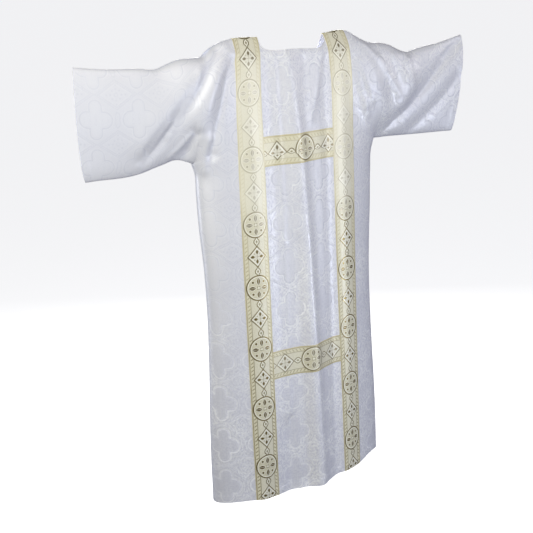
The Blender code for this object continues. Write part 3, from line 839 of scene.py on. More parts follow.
class Desk:
    """A material's node tree and the few ways in which nodes are added to it."""

    def __init__(self, name):
        self.material = bpy.data.materials.new(name)
        self.material.use_nodes = True
        self.tree = self.material.node_tree
        self.tree.nodes.clear()

    def node(self, kind, settings, *values, **named):
        """Add a node: its settings first, then the values or links of its sockets in their order."""
        node = self.tree.nodes.new(kind)
        for key, value in settings.items():
            setattr(node, key, value)
        sockets = [socket for socket in node.inputs if socket.enabled]
        for socket, value in zip(sockets, values):
            self.feed(socket, value)
        for key, value in named.items():
            self.feed(node.inputs[key.replace("_", " ")], value)
        return node

    def feed(self, socket, value):
        if isinstance(value, Signal):
            self.tree.links.new(value.socket, socket)
        elif socket.type == "RGBA":
            socket.default_value = (*value[:3], 1.0)
        else:
            socket.default_value = value

    def signal(self, kind, settings, *values, **named):
        """Add a node and give the first of its outputs that are in use."""
        node = self.node(kind, settings, *values, **named)
        return Signal(self, next(socket for socket in node.outputs if socket.enabled))

    def maths(self, operation, *values, clamp=False):
        return self.signal("ShaderNodeMath", {"operation": operation, "use_clamp": clamp}, *values)

    def place(self):
        """Object coordinates, in metres, as one vector."""
        return Signal(self, self.node("ShaderNodeTexCoord", {}).outputs["Object"])

    def split(self, vector):
        parts = self.node("ShaderNodeSeparateXYZ", {}, vector)
        return [Signal(self, socket) for socket in parts.outputs]

    def map_lengths(self, map_name):
        """Lengths across and along the cloth, in millimetres."""
        across, along, _ = self.split(self.signal("ShaderNodeUVMap", {"uv_map": map_name}))
        return 1000 * across, 1000 * along

    def noise(self, scale, detail=2.0, roughness=0.5):
        """Soft noise on Object coordinates, with `scale` features to a metre."""
        return self.signal("ShaderNodeTexNoise", {}, self.place(), scale, detail, roughness)

    def stretched(self, value, gain, offset):
        """A value times a gain plus an offset, cut off at 0 and 1."""
        return self.maths("MULTIPLY_ADD", value, gain, offset, clamp=True)

    def ramp(self, value, start, end):
        """0 up to `start`, 1 from `end` on, straight between them; `end` may be the lower one."""
        return self.stretched(value, 1 / (end - start), -start / (end - start))

    def below(self, value, limit, soft=SOFT_EDGE):
        """1 where a value is below a limit and 0 above it, with a soft edge."""
        return self.stretched(value, -1 / soft, limit / soft + 0.5)

    def stroke(self, value, at, width, soft=SOFT_EDGE):
        """1 on a line of that width where a value passes `at`."""
        return self.below(abs(value - at), width / 2, soft)

    def spread(self, mask, least, most=1.0):
        """`least` where a mask is 0 and `most` where it is 1."""
        return least + (most - least) * mask

    def either(self, *masks):
        total = masks[0]
        for mask in masks[1:]:
            total = self.maths("MAXIMUM", total, mask)
        return total

    def total(self, shares, parts):
        """Sum of the named parts, each times its share, and of a number named "even"."""
        total = shares.get("even", 0.0)
        for name, share in shares.items():
            if name != "even":
                total = total + share * parts[name]
        return total

    def distance(self, x, y):
        return (x * x + y * y) ** 0.5

    def oval(self, x, y, half_width, half_height):
        """1 on an oval's edge, less inside it and more outside."""
        return self.distance(x / half_width, y / half_height)

    def disc(self, x, y, disc_x, disc_y, radius):
        return self.below(self.distance(x - disc_x, y - disc_y), radius)

    def wrapped(self, value, period):
        """A value folded into one repeat, from minus half a period to half a period."""
        return self.maths("WRAP", value, period / 2, -period / 2)

    def wave(self, value, period, drift=0.0):
        """A sine that repeats with each period; drift moves it along, in radians."""
        return self.maths("SINE", value * (2 * math.pi / period) + drift)

    def layer(self, base, *steps):
        """Lay colours over a base, each through its mask; a colour is three numbers or a signal."""
        for mask, colour in steps:
            base = self.signal("ShaderNodeMix", {"data_type": "RGBA"}, mask, base, colour)
        return base

    def surface(self, settings, **linked):
        """Principled surface whose steady values sit on its own sockets; gives the material."""
        shader = self.node("ShaderNodeBsdfPrincipled", {}, **linked)
        for key, value in settings.items():
            shader.inputs[key].default_value = value
        output = self.node("ShaderNodeOutputMaterial", {})
        self.tree.links.new(shader.outputs[0], output.inputs[0])
        return self.material

    def woven_surface(self, relief, relief_height, settings, **linked):
        """A surface raised by a relief whose full height is in metres."""
        bump = self.signal("ShaderNodeBump", {}, Height=relief, Distance=relief_height, Strength=1.0)
        return self.surface(settings, **linked, Normal=bump)


def linear(red, green, blue):
    """A colour from its 0 to 255 screen values."""
    return tuple(((value / 255 + 0.055) / 1.055) ** 2.4 if value > 10 else value / 255 / 12.92
                 for value in (red, green, blue))


print("mid grey on a screen is", round(linear(128, 128, 128)[0], 3), "of its white")

# %% [markdown]
# ## The damask
#
# Damask shows its pattern by weave alone: where the warp floats on top the cloth is smooth and shines,
# where the weft does it is matt, so the pattern comes and goes with the light. The repeat here is an
# old church pattern: four-lobed foils in rows, with a dotted rosette in a lozenge between them. Lines
# of short floats run round the foils like the barbs of a feather. The chart could be painted as an
# image, but drawn from circles and lozenges it stays sharp at any size. The two weaves differ a little
# in colour, more in roughness, and a fine bump sets one above the other. The figure is faint on the
# wearer's right shoulder, where the cloth lies square to the light, and clearest towards the hem.
# Some light and shade is painted into the colour too. A pale painted highlight runs beside the foils'
# outlines, and the floats are painted lighter as painted glints. A painted shade darkens the satin
# towards the hem and where the figure shows, away from the wearer's right side.

# %% Damask chart
# Lengths in mm. A line is given by where its middle lies, its width and, if need be, its soft edge.
REPEAT_ACROSS = 113.5  # from one foil to the next
REPEAT_DOWN = 125.0
FOIL_PLACE = (-54.0, -1128.0)  # middle of one foil, in lengths of cloth across and down
SIDE_LOBE = (22.0, 20.5)  # where a side lobe's round end starts from the middle, and its radius
TOP_LOBE = (33.0, 15.8)
FOIL_LINE = (0.0, 4.4)  # three lines along the foil's edge, outside it where above 0
# painted highlight: the pale line just outside the outline stands in for light on the outline's relief
PAINTED_HIGHLIGHT_LINE = (3.0, 2.2)
INNER_LINE = (-4.6, 1.4)
FOIL_CLEAR = 2.5  # the ground's pattern stays this far off the foil's edge
FOIL_FACE = (-1.0, 1.5)  # the foil's shining face ends here, with this soft edge
FEATHER_PITCH = 7.5  # of the feathered lines that follow the foils' outline
KNOT = (17.5, 21.5, 2.6)  # place and radius of the small knots in the foil's four corners
SEED_PITCH = 16.0  # seeds in a row above and below the foil's middle
SEED_RISE = 7.0
SEED_HALF = (2.4, 6.0)  # half width and half height
SEED_LINE = (1.0, 0.5, 0.15)  # in shares of the seed's size
SEEDS_WITHIN = -7.0  # from the foil's edge
LOZENGE = (56.75, 37.5)  # half width and half height of the lozenge round a rosette
LOZENGE_LINES = ((0.80, 0.060, 0.02), (0.98, 0.060, 0.02))  # in shares of the lozenge's size
LOZENGE_CORD = (0.89, 0.11, 0.02)  # a twisted cord between the two lines
# a pale painted highlight along the inside of the lozenge's lines
LOZENGE_PAINTED_HIGHLIGHT = (0.71, 0.08, 0.03)
CORD_PERIOD = 9.0
CORD_DASH = (2.7, 2.0)  # half length and soft edge of each dash of the cord
ROSETTE_RING = (4.4, 2.0)
ROSETTE_DOT = 2.5
ROSETTE_DOTS = ((0.0, 14.0), (10.0, 10.0), (14.5, 0.0), (0.0, 24.0), (25.0, 0.0))
SPRAY_RISE = 7.0  # sprays between the lozenges
SPRAY_HALF = (6.0, 12.0)
SPRAY_LINE = (1.0, 0.34, 0.12)
FAINTER = {"cord": 0.8, "lozenge_painted_highlight": 0.6, "inner_line": 0.5, "seeds": 0.4, "between": 0.85}
print("the damask repeats every", REPEAT_ACROSS, "by", REPEAT_DOWN, "mm")

# %% Masks of the damask


def damask_masks(desk):
    """Lengths across, down and from the foils' edge, and masks of the damask's parts, by name."""
    across, down = desk.map_lengths("cloth")
    x = abs(desk.wrapped(across - FOIL_PLACE[0], REPEAT_ACROSS))
    y = abs(desk.wrapped(down - FOIL_PLACE[1], REPEAT_DOWN))
    side_lobes = desk.distance(desk.maths("MAXIMUM", x - SIDE_LOBE[0], 0.0), y) - SIDE_LOBE[1]
    top_lobes = desk.distance(x, desk.maths("MAXIMUM", y - TOP_LOBE[0], 0.0)) - TOP_LOBE[1]
    foil = desk.maths("MINIMUM", side_lobes, top_lobes)
    seed = desk.oval(desk.wrapped(x - SEED_PITCH, SEED_PITCH), y - SEED_RISE, *SEED_HALF)
    seeds = desk.stroke(seed, *SEED_LINE) * desk.below(foil, SEEDS_WITHIN)
    from_side = REPEAT_ACROSS / 2 - x
    from_row = REPEAT_DOWN / 2 - y
    lozenge = from_side / LOZENGE[0] + from_row / LOZENGE[1]
    frame_lines = desk.either(*(desk.stroke(lozenge, *line) for line in LOZENGE_LINES))
    beside = from_side - from_row * (LOZENGE[0] / LOZENGE[1])
    dashes = desk.below(abs(desk.wrapped(beside, CORD_PERIOD)), *CORD_DASH)
    cord = desk.stroke(lozenge, *LOZENGE_CORD) * dashes
    dots = desk.stroke(desk.distance(from_side, from_row), *ROSETTE_RING)
    for dot_x, dot_y in ROSETTE_DOTS:
        dots = desk.either(dots, desk.disc(from_side, from_row, dot_x, dot_y, ROSETTE_DOT))
    spray = desk.stroke(desk.oval(from_side, y - SPRAY_RISE, *SPRAY_HALF), *SPRAY_LINE)
    outside = 1 - desk.below(foil, FOIL_CLEAR)
    between = outside * desk.either(frame_lines, FAINTER["cord"] * cord, dots, spray)
    lozenge_painted_highlight = FAINTER["lozenge_painted_highlight"] * outside * desk.stroke(lozenge, *LOZENGE_PAINTED_HIGHLIGHT)
    return {
        "across": across, "down": down, "from_foil": foil, "foil": desk.below(foil, *FOIL_FACE),
        "painted_highlight": desk.either(desk.stroke(foil, *PAINTED_HIGHLIGHT_LINE) * (1 - between), lozenge_painted_highlight),
        "weft": desk.either(desk.stroke(foil, *FOIL_LINE), desk.disc(x, y, *KNOT),
                            FAINTER["inner_line"] * desk.stroke(foil, *INNER_LINE),
                            FAINTER["seeds"] * seeds, FAINTER["between"] * between),
    }


# %% Tones and shares of the damask's finish
SATIN_WHITE = linear(229, 230, 239)
FOIL_WHITE = linear(243, 244, 250)
# painted highlight: the pale lines beside the foils and the floats' glints are painted in this lighter
# white
PAINTED_HIGHLIGHT_WHITE = linear(246, 247, 252)
WEFT_WHITE = linear(184, 188, 207)
# painted shade, with random clouds and mottle: a darker white laid over the satin
TONE_AND_PAINTED_SHADE_WHITE = linear(214, 215, 229)
DAMASK_NOISES = {  # features to a metre, detail, roughness
    "cloud": (9.0, 2.0, 0.5),  # slow change of tone
    "patches": (11.0, 1.0, 0.5),  # where the figure shows strongly and where it hides
    "mottle": (300.0, 2.0, 0.7),  # unevenness that the hand would feel
    "slub": (900.0, 1.0, 0.5),  # thick and thin threads
    "wander": (55.0, 1.0, 0.5),  # moves the feathered lines about
    # these floats' glints are also painted into the colour, as a lighter white
    "points": (150.0, 1.0, 0.5),  # floats that catch the light one by one
}
PATCH_CONTRAST = (2.4, -0.75)  # gain and offset that stretch a noise to the full range
POINT_CONTRAST = (4.0, -1.5)
FEATHER_DRIFT = 14.0  # radians by which the feathered lines wander
RIB_PITCH = (0.7, 0.9)  # of the threads across and down, in mm
FIGURE_FAINT = 0.30  # how much of the figure shows on the wearer's right shoulder and sleeve
FIGURE_FROM_X = (-0.30, -0.10)  # between these it grows clearer towards the front's middle
FIGURE_FROM_Z = (-0.55, -0.95)  # and between these towards the hem
FOIL_PALENESS = 0.8
PAINTED_HIGHLIGHT_RANGE = (0.30, 0.80)  # of the pale lines, where the patches hide the figure and where they show it
WEFT_HIDDEN = 0.75  # share of the matt weave that is left where the patches hide the figure
FLOATS_HIDDEN = 0.45  # the same of the loose floats
FLOATS_ON_FOIL = 0.55  # share of them on the foils, on the right shoulder, and near the hem
FLOATS_ON_SHOULDER = 0.55
FLOATS_AT_HEM = 1.3
# floats: relief and gloss of loose threads, and painted glints in a lighter white
FLOATS_AND_PAINTED_GLINTS = {"even": 0.20, "feather": 0.20, "glitter": 0.60}
# shares of the darker white: clouds and mottle are random tone; the rest is painted shade, darker
# towards the hem and where the figure shows, away from the wearer's right side
DAMASK_TONE_AND_PAINTED_SHADE = {"cloud": 0.22, "mottle": 0.12, "shown": 0.44, "low": 0.32}
DAMASK_RELIEF = {"foil": 0.14, "weft": -0.18, "floats_and_painted_glints": 0.16,
                 "rib": 0.008, "slub": 0.012, "mottle": 0.03}
DAMASK_ROUGHNESS = {"even": 0.41, "weft": 0.25, "floats_and_painted_glints": -0.08, "mottle": 0.05}
DAMASK_METALLIC = (0.20, 0.0)  # of the warp's gloss, and where the weft takes it away
PAINTED_HIGHLIGHT_MATT = 0.6  # how far the pale lines take it away too
DAMASK_SETTINGS = {"Specular IOR Level": 0.5, "Sheen Weight": 0.1, "Sheen Roughness": 0.5}
WEAVE_HEIGHT = 0.0009  # metres of relief for a height of 1
print("satin", [round(value, 3) for value in SATIN_WHITE], "and matt weave",
      [round(value, 3) for value in WEFT_WHITE])

# %% The damask itself


def damask_finish(name):
    """Finish of the damask, with its figure clear or hidden from place to place."""
    desk = Desk(name)
    parts = damask_masks(desk)
    parts.update({word: desk.noise(*numbers) for word, numbers in DAMASK_NOISES.items()})
    x, _, z = desk.split(desk.place())
    worn = desk.stretched(parts["patches"], *PATCH_CONTRAST)
    fronted = desk.ramp(x, *FIGURE_FROM_X)
    # darker towards the hem: this ramp also drives the painted shade
    parts["low"] = desk.ramp(z, *FIGURE_FROM_Z)
    parts["shown"] = shown = desk.spread(desk.either(fronted, parts["low"]), FIGURE_FAINT)
    parts["feather"] = desk.wave(parts["from_foil"], FEATHER_PITCH, FEATHER_DRIFT * parts["wander"])
    parts["glitter"] = desk.stretched(parts["points"], *POINT_CONTRAST)
    parts["rib"] = desk.wave(parts["across"], RIB_PITCH[0]) * desk.wave(parts["down"], RIB_PITCH[1])
    parts["weft"] = weft = parts["weft"] * shown * desk.spread(worn, WEFT_HIDDEN)
    # painted highlight beside the outlines, laid on in a lighter white
    painted_highlight = parts["painted_highlight"] * shown * desk.spread(worn, *PAINTED_HIGHLIGHT_RANGE)
    # painted glints: the floats lighten the colour, besides raising and smoothing the cloth
    floats_and_painted_glints = desk.total(FLOATS_AND_PAINTED_GLINTS, parts) * shown * desk.spread(worn, FLOATS_HIDDEN)
    for mask, least, most in ((parts["foil"], 1.0, FLOATS_ON_FOIL), (fronted, FLOATS_ON_SHOULDER, 1.0),
                              (parts["low"], 1.0, FLOATS_AT_HEM)):
        floats_and_painted_glints = floats_and_painted_glints * desk.spread(mask, least, most)
    parts["floats_and_painted_glints"] = floats_and_painted_glints
    colour = desk.layer(
        SATIN_WHITE, (FOIL_PALENESS * parts["foil"] * shown, FOIL_WHITE), (weft, WEFT_WHITE),
        (desk.total(DAMASK_TONE_AND_PAINTED_SHADE, parts), TONE_AND_PAINTED_SHADE_WHITE), (floats_and_painted_glints, PAINTED_HIGHLIGHT_WHITE), (painted_highlight, PAINTED_HIGHLIGHT_WHITE))
    return desk.woven_surface(
        desk.total(DAMASK_RELIEF, parts), WEAVE_HEIGHT, DAMASK_SETTINGS, Base_Color=colour,
        Roughness=desk.total(DAMASK_ROUGHNESS, parts),
        Metallic=desk.spread(desk.either(weft, PAINTED_HIGHLIGHT_MATT * painted_highlight), *DAMASK_METALLIC))


damask = damask_finish("white_damask")
print("damask:", len(damask.node_tree.nodes), "nodes")

# %% [markdown]
# ## The galloon
#
# The woven band has a chain of circles and lozenges, joined by small drops, between two borders of
# slanting ticks. Its figure is woven with a dull gold thread on a cream ground, so that it turns from
# brown to bright with the light. It could be embroidered thread by thread, but the figure lies so flat
# that a chart and a fine bump are enough. The chart is drawn from circles, leaves and straight lines
# over one repeat: a circle at its ends, a lozenge in its middle, everything mirrored along and across.
# Over the chest the upright bands carry a painted sheen: their ground is painted paler and their gold
# figure fades, in patches, standing in for light off the thread. The border's fine lines and ticks grow
# clearer towards the hem. The crossbars are woven a little softer and have no painted sheen.

# %% Galloon chart
# Lengths in mm. A line is given by where its middle lies, its width and, if need be, its soft edge.
HALF_MOTIF = 1000 * MOTIF_LENGTH / 2
CIRCLE = (35.0, 3.3)  # the circle's dark line and the light one inside it
CIRCLE_LIGHT = (31.6, 2.6)
PETAL = (18.6, 9.6, 5.2)  # middle, half length and half width of the circle's four petals
PETAL_RIM = 1.8
VEIN = (19.0, 7.5, 0.9)  # middle, half length and half width of a petal's vein
BERRY = (16.6, 17.0)  # dots between the petals
BERRY_RADIUS = 3.1
BERRY_RIM = (4.6, 1.4)
HEART = (4.8, 2.0)  # ring round the eye, woven only near the diagonals
HEART_REACH = 2.8
EYE = 2.6
DROP = (46.8, 0.60)  # from the middle of a circle to a drop, and how blunt its tips are
DROP_LINE = (8.2, 2.5)
DROP_LIGHT = (5.3, 2.0)
DROP_CORE = 2.6
GALLOON_LOZENGE = (27.6, 28.9)  # half width and half height
LOZENGE_DARK = (1.0, 0.135, 0.03)  # in shares of the lozenge's size
LOZENGE_LIGHT = (0.83, 0.15, 0.03)
LEAF = (13.4, 6.0, 3.8)  # the lozenge's four leaves, as the petals
STALK = (9.0, 0.7)  # length and half width
SPECK = (8.2, 8.6, 1.6)  # place and radius
BORDER_START = 25.5  # from the middle of the band to its border
BORDER_LINE = 1.3
BORDER_MIDDLE = 31.0
SELVAGE = 37.4
SELVAGE_LINE = 1.1
TICK_PERIOD = 1000 * MOTIF_LENGTH / 16
TICK_SLANT = 0.7
TICK = (0.9, 3.6)  # half width and half length
GLEAM = (2.2, 3.6)  # of the bright oval between two ticks
VEIN_STRENGTH = 0.6
DEEP_STRENGTH = {"heart": 0.8, "stalk": 0.45, "specks": 0.6}
LIGHT_STRENGTH = {"petal": 0.9, "berry": 0.7, "gleam": 0.3}
CORE_STRENGTH = 0.8
print("the galloon repeats every", round(2 * HALF_MOTIF, 1), "mm")

# %% Circle of the galloon


def four_leaves(desk, x, y, middle, half_length, half_width):
    """A length below 0 inside four leaves along the axes, then the longer and the shorter of x and y."""
    long = desk.maths("MAXIMUM", x, y)
    short = desk.maths("MINIMUM", x, y)
    return short - half_width * (1 - ((long - middle) / half_length) ** 2), long, short


def galloon_circle(desk, x, y):
    """Mask of a circle, and the dark, deep and light threads of it, its petals and its dots."""
    radius = desk.distance(x, y)
    inside = desk.below(radius, CIRCLE[0] + CIRCLE[1] / 2)
    petal, long, short = four_leaves(desk, x, y, *PETAL)
    vein = desk.below(short, VEIN[2]) * desk.below(abs(long - VEIN[0]), VEIN[1])
    berry = desk.distance(x - BERRY[0], y - BERRY[1])
    heart = desk.stroke(radius, *HEART) * desk.below(abs(x - y), HEART_REACH)
    deep = desk.either(desk.below(petal, 0.0) * (1 - VEIN_STRENGTH * vein),
                       desk.below(berry, BERRY_RADIUS), DEEP_STRENGTH["heart"] * heart)
    light = desk.either(desk.stroke(radius, *CIRCLE_LIGHT),
                        LIGHT_STRENGTH["petal"] * desk.below(petal, PETAL_RIM),
                        LIGHT_STRENGTH["berry"] * desk.stroke(berry, *BERRY_RIM),
                        desk.below(radius, EYE))
    return inside, desk.stroke(radius, *CIRCLE), inside * deep, inside * light


# %% Drop and lozenge of the galloon


def galloon_drop(desk, x, y):
    """Dark and light threads of the drop that joins a circle to a lozenge."""
    place, blunt = DROP
    from_middle = y - place
    drop = desk.maths("MINIMUM", desk.distance(x, from_middle), x + blunt * abs(from_middle))
    dark = desk.either(desk.stroke(drop, *DROP_LINE), CORE_STRENGTH * desk.below(drop, DROP_CORE))
    return dark, desk.stroke(drop, *DROP_LIGHT)


def galloon_lozenge(desk, x, y):
    """Mask of a lozenge, and the dark, deep and light threads of it and its leaves."""
    lozenge = x / GALLOON_LOZENGE[0] + y / GALLOON_LOZENGE[1]
    dark_at, _, soft = LOZENGE_DARK
    inside = desk.below(lozenge, dark_at, soft)
    leaf, long, short = four_leaves(desk, x, y, *LEAF)
    stalk = desk.below(short, STALK[1]) * desk.below(long, STALK[0])
    deep = desk.either(desk.below(leaf, 0.0), DEEP_STRENGTH["stalk"] * stalk,
                       DEEP_STRENGTH["specks"] * desk.disc(x, y, *SPECK))
    return (inside, desk.stroke(lozenge, *LOZENGE_DARK), inside * deep,
            desk.stroke(lozenge, *LOZENGE_LIGHT))


# %% Masks of the galloon


def galloon_masks(desk):
    """Length along the band and masks of the galloon's parts, by name."""
    across, along = desk.map_lengths("band")
    x = abs(across)
    y = abs(desk.wrapped(along, 2 * HALF_MOTIF))
    in_circle, circle_dark, circle_deep, circle_light = galloon_circle(desk, x, y)
    in_lozenge, lozenge_dark, lozenge_deep, lozenge_light = galloon_lozenge(desk, x, HALF_MOTIF - y)
    drop_dark, drop_light = galloon_drop(desk, x, y)
    clear = (1 - in_circle) * (1 - in_lozenge)
    border_lines = desk.either(desk.stroke(x, BORDER_START, BORDER_LINE),
                               desk.stroke(x, SELVAGE, SELVAGE_LINE))
    slant = desk.wrapped(along + TICK_SLANT * x, TICK_PERIOD)
    from_middle = abs(x - BORDER_MIDDLE)
    gleam = desk.below(desk.oval(slant, from_middle, *GLEAM), 1.0)
    tick = desk.below(TICK_PERIOD / 2 - abs(slant), TICK[0]) * desk.below(from_middle, TICK[1])
    return {
        "along": along, "in_circle": in_circle, "in_lozenge": in_lozenge,
        "border": desk.below(BORDER_START - x, 0.0) * clear,
        "selvage": desk.below(SELVAGE - x, 0.0) * (1 - in_circle),
        "edge": desk.either(border_lines * clear, tick * clear),
        "dark": desk.either(circle_dark, lozenge_dark, drop_dark * clear),
        "deep": desk.either(circle_deep, lozenge_deep),
        "light": desk.either(circle_light, lozenge_light, drop_light * clear,
                             LIGHT_STRENGTH["gleam"] * (gleam * clear)),
    }


# %% Tones and shares of the galloon's finish
GALLOON_GROUND = linear(236, 232, 213)
GALLOON_LAYERS = {  # in the order in which they are laid over the ground
    "in_lozenge": linear(239, 236, 222),
    "border": linear(231, 225, 198),
    "in_circle": linear(225, 220, 196),
    "selvage": linear(216, 206, 168),
    "grain": linear(203, 196, 168),
    # painted sheen: a pale ground over the chest, standing in for light off the gold thread
    "painted_sheen": linear(249, 246, 232),
    "light": linear(249, 246, 232),
    "dark": linear(138, 122, 76),
    "deep": linear(131, 114, 68),
}
SHEEN_BREAKUP = (16.0, 1.0)  # noise that breaks up the painted sheen: features to a metre, detail
SHEEN_BREAKUP_CONTRAST = (2.0, -0.3)  # gain and offset
SHEEN_LEAST = 0.65  # share of the painted sheen that is there everywhere
SPECKLE = (420.0, 1.0)  # noise of the single threads
GRAIN_CONTRAST = (3.0, -1.2)
GRAIN_STRENGTH = 0.35
PAINTED_SHEEN_STRENGTH = 0.6
SHEEN_FROM_Z = (0.00, -0.13)  # z between which the painted sheen grows over the gold thread, and then fades again
SHEEN_TO_Z = (-0.54, -0.42)
EDGE_FAINT = 0.35  # of the border's lines and ticks, which are full from the lower height on
EDGE_FROM_Z = (-0.55, -0.95)
PICK_PITCH = 0.8  # mm from one pick of the weft to the next
GALLOON_RELIEF = {"light": 0.10, "figure": 0.06, "picks": 0.008, "speckle": 0.04}
GALLOON_ROUGHNESS = {"even": 0.40, "speckle": 0.06, "figure": -0.12}
GALLOON_METALLIC = (0.22, 0.70)  # of the ground and of the gold thread
GALLOON_SETTINGS = {"Specular IOR Level": 0.5}
print(len(GALLOON_LAYERS), "tones are laid over the galloon's ground")

# %% The galloon itself


def galloon_finish(name, strength, sheen_share):
    """Finish of a band: how strong its gold figure is, and how strong its painted sheen over the chest
    is.
    """
    desk = Desk(name)
    parts = galloon_masks(desk)
    level = desk.split(desk.place())[2]
    sheen_breakup = desk.spread(desk.stretched(desk.noise(*SHEEN_BREAKUP), *SHEEN_BREAKUP_CONTRAST), SHEEN_LEAST)
    # painted sheen: between these heights the band is painted paler and its gold figure fades
    painted_sheen = sheen_share * desk.ramp(level, *SHEEN_FROM_Z) * desk.ramp(level, *SHEEN_TO_Z) * sheen_breakup
    kept = strength * (1 - painted_sheen)
    edge = parts["edge"] * desk.spread(desk.ramp(level, *EDGE_FROM_Z), EDGE_FAINT)
    parts["dark"] = desk.either(parts["dark"], edge) * kept
    parts["deep"] = parts["deep"] * kept
    parts["figure"] = desk.either(parts["dark"], parts["deep"])
    parts["speckle"] = desk.noise(*SPECKLE)
    parts["grain"] = GRAIN_STRENGTH * desk.stretched(parts["speckle"], *GRAIN_CONTRAST)
    parts["painted_sheen"] = PAINTED_SHEEN_STRENGTH * painted_sheen
    parts["picks"] = desk.wave(parts["along"], PICK_PITCH)
    colour = desk.layer(GALLOON_GROUND, *((parts[word], tone) for word, tone in GALLOON_LAYERS.items()))
    return desk.woven_surface(
        desk.total(GALLOON_RELIEF, parts), WEAVE_HEIGHT, GALLOON_SETTINGS, Base_Color=colour,
        Roughness=desk.total(GALLOON_ROUGHNESS, parts),
        Metallic=desk.spread(parts["figure"], *GALLOON_METALLIC))


# the upright bands get a painted sheen over the chest, the crossbars none
galloon = galloon_finish("cream_gold_galloon", 1.0, 0.84)
crossbar_galloon = galloon_finish("crossbar_galloon", 0.78, 0.0)
print("galloon:", len(galloon.node_tree.nodes), "nodes")

# %% [markdown]
# ## The stitches
#
# A band is sewn down by a row of stitches just inside each of its edges, and a hem by one row just
# below the edge of its turning. They could be a bump in the finish, but thread stands proud of the
# cloth and catches light of its own. So one stitch is a small ball drawn out into a grain, an Array
# modifier repeats it as often as the row is long, and a Curve modifier bends the row onto the cloth.

# %% Where the stitches run
STITCH_PITCH = 0.0042
STITCH_SIZE = (0.0030, 0.0006, 0.0005)  # length, width and height of the thread that shows
STITCH_INSET = 0.0020  # from the edge of a band, a hem's turning or the neck
NECK_INSET = 0.0045
STITCH_SIDES = 6
STITCH_RINGS = 3
THREAD_SUNK = 4  # a stitch's middle lies its height over this above the cloth
stitch_rows = {}  # by the name of the sheet that they are sewn through


def line_on(grid, rows, columns):
    """Points on a sheet's face at row and column numbers that need not be whole."""
    points, normals = grid[:2]
    rows, columns = np.broadcast_arrays(np.asarray(rows, float), np.asarray(columns, float))
    row = np.minimum(rows.astype(int), points.shape[0] - 2)
    column = np.minimum(columns.astype(int), points.shape[1] - 2)
    down = (rows - row)[:, None]
    side = (columns - column)[:, None]
    above = points[row, column] * (1 - side) + points[row, column + 1] * side
    below = points[row + 1, column] * (1 - side) + points[row + 1, column + 1] * side
    return above * (1 - down) + below * down + normals[row, column] * STITCH_SIZE[2] / THREAD_SUNK


def band_lines(grid):
    """The two rows of stitches of a band."""
    across = grid[2][0, :, 0]
    rows = np.arange(len(grid[0]))
    numbers = np.arange(len(across))
    return [line_on(grid, rows, np.interp(place, across, numbers))
            for place in (across[0] + STITCH_INSET, across[-1] - STITCH_INSET)]


def panel_lines(grid):
    """Rows of stitches on a panel's hem, broken where the bands lie, and along its neck."""
    numbers = column_numbers(grid[0].shape[1])
    beyond = NECK_CELLS + BAND_CELLS
    rows = np.arange(len(grid[0]))
    lengths = grid[2][..., 1]
    columns = np.arange(len(numbers))
    above_hem = (lengths - lengths[-1])[::-1].T
    below_neck = (lengths[0] - lengths).T
    hem_row = [np.interp(HEM_DEPTH - STITCH_INSET, column, rows[::-1]) for column in above_hem]
    neck_row = [np.interp(NECK_INSET, column, rows) for column in below_neck]
    parts = (numbers <= -beyond, np.abs(numbers) <= NECK_CELLS, numbers >= beyond)
    lines = [line_on(grid, np.array(hem_row)[part], columns[part]) for part in parts]
    return lines + [line_on(grid, np.array(neck_row)[parts[1]], columns[parts[1]])]


def cuff_line(grid):
    """The row of stitches round a cuff."""
    lengths = np.abs(grid[2][len(grid[0]) // 2, :, 0])
    column = np.interp(lengths[-1] - HEM_DEPTH + STITCH_INSET, lengths, np.arange(len(lengths)))
    return [line_on(grid, np.arange(len(grid[0])), column)]


print("a cuff takes", len(cuff_line(sleeves["sleeve_right_cloth"])[0]), "points of a row")

# %% Rows of stitches


def sew(line):
    """One row of stitches along a line."""
    length = np.linalg.norm(np.diff(line, axis=0), axis=1).sum()
    route = bpy.data.curves.new("route", "CURVE")
    route.dimensions = "3D"
    spline = route.splines.new("POLY")
    spline.points.add(len(line) - 1)
    spline.points.foreach_set("co", np.column_stack((line, np.ones(len(line)))).reshape(-1))
    path = bpy.data.objects.new("route", route)
    bpy.context.scene.collection.objects.link(path)
    deselect_all()
    bpy.ops.mesh.primitive_uv_sphere_add(segments=STITCH_SIDES, ring_count=STITCH_RINGS, radius=0.5,
                                         rotation=(0.0, math.pi / 2, 0.0))
    row = bpy.context.object
    bpy.ops.object.transform_apply(location=False, rotation=True, scale=False)
    row.scale = STITCH_SIZE
    row.location.x = STITCH_PITCH / 2
    bpy.ops.object.transform_apply(location=True, rotation=False, scale=True)
    repeat = row.modifiers.new("repeat", "ARRAY")
    repeat.use_relative_offset = False
    repeat.use_constant_offset = True
    repeat.constant_offset_displace = (STITCH_PITCH, 0.0, 0.0)
    repeat.count = int(length / STITCH_PITCH)
    bend = row.modifiers.new("bend", "CURVE")
    bend.object = path
    bpy.ops.object.modifier_apply(modifier="repeat")
    bpy.ops.object.modifier_apply(modifier="bend")
    bpy.ops.object.shade_smooth()
    bpy.data.objects.remove(path)
    return row


def add_stitches(name, lines):
    """All the rows of one sheet, joined into one piece."""
    rows = [sew(line) for line in lines]
    deselect_all()
    for row in rows:
        row.select_set(True)
    bpy.context.view_layer.objects.active = rows[0]
    if len(rows) > 1:
        bpy.ops.object.join()
    rows[0].name = name
    rows[0].data.name = name
    return rows[0]


for sheets, lines_of in ((bands, band_lines), (panels, panel_lines), (sleeves, cuff_line)):
    for name, grid in sheets.items():
        stitch_rows[name] = add_stitches(name.rsplit("_", 1)[0] + "_stitches", lines_of(grid))
thread_faces = sum(len(piece.data.polygons) for piece in stitch_rows.values())
print(thread_faces, "faces of thread in", len(stitch_rows), "pieces")

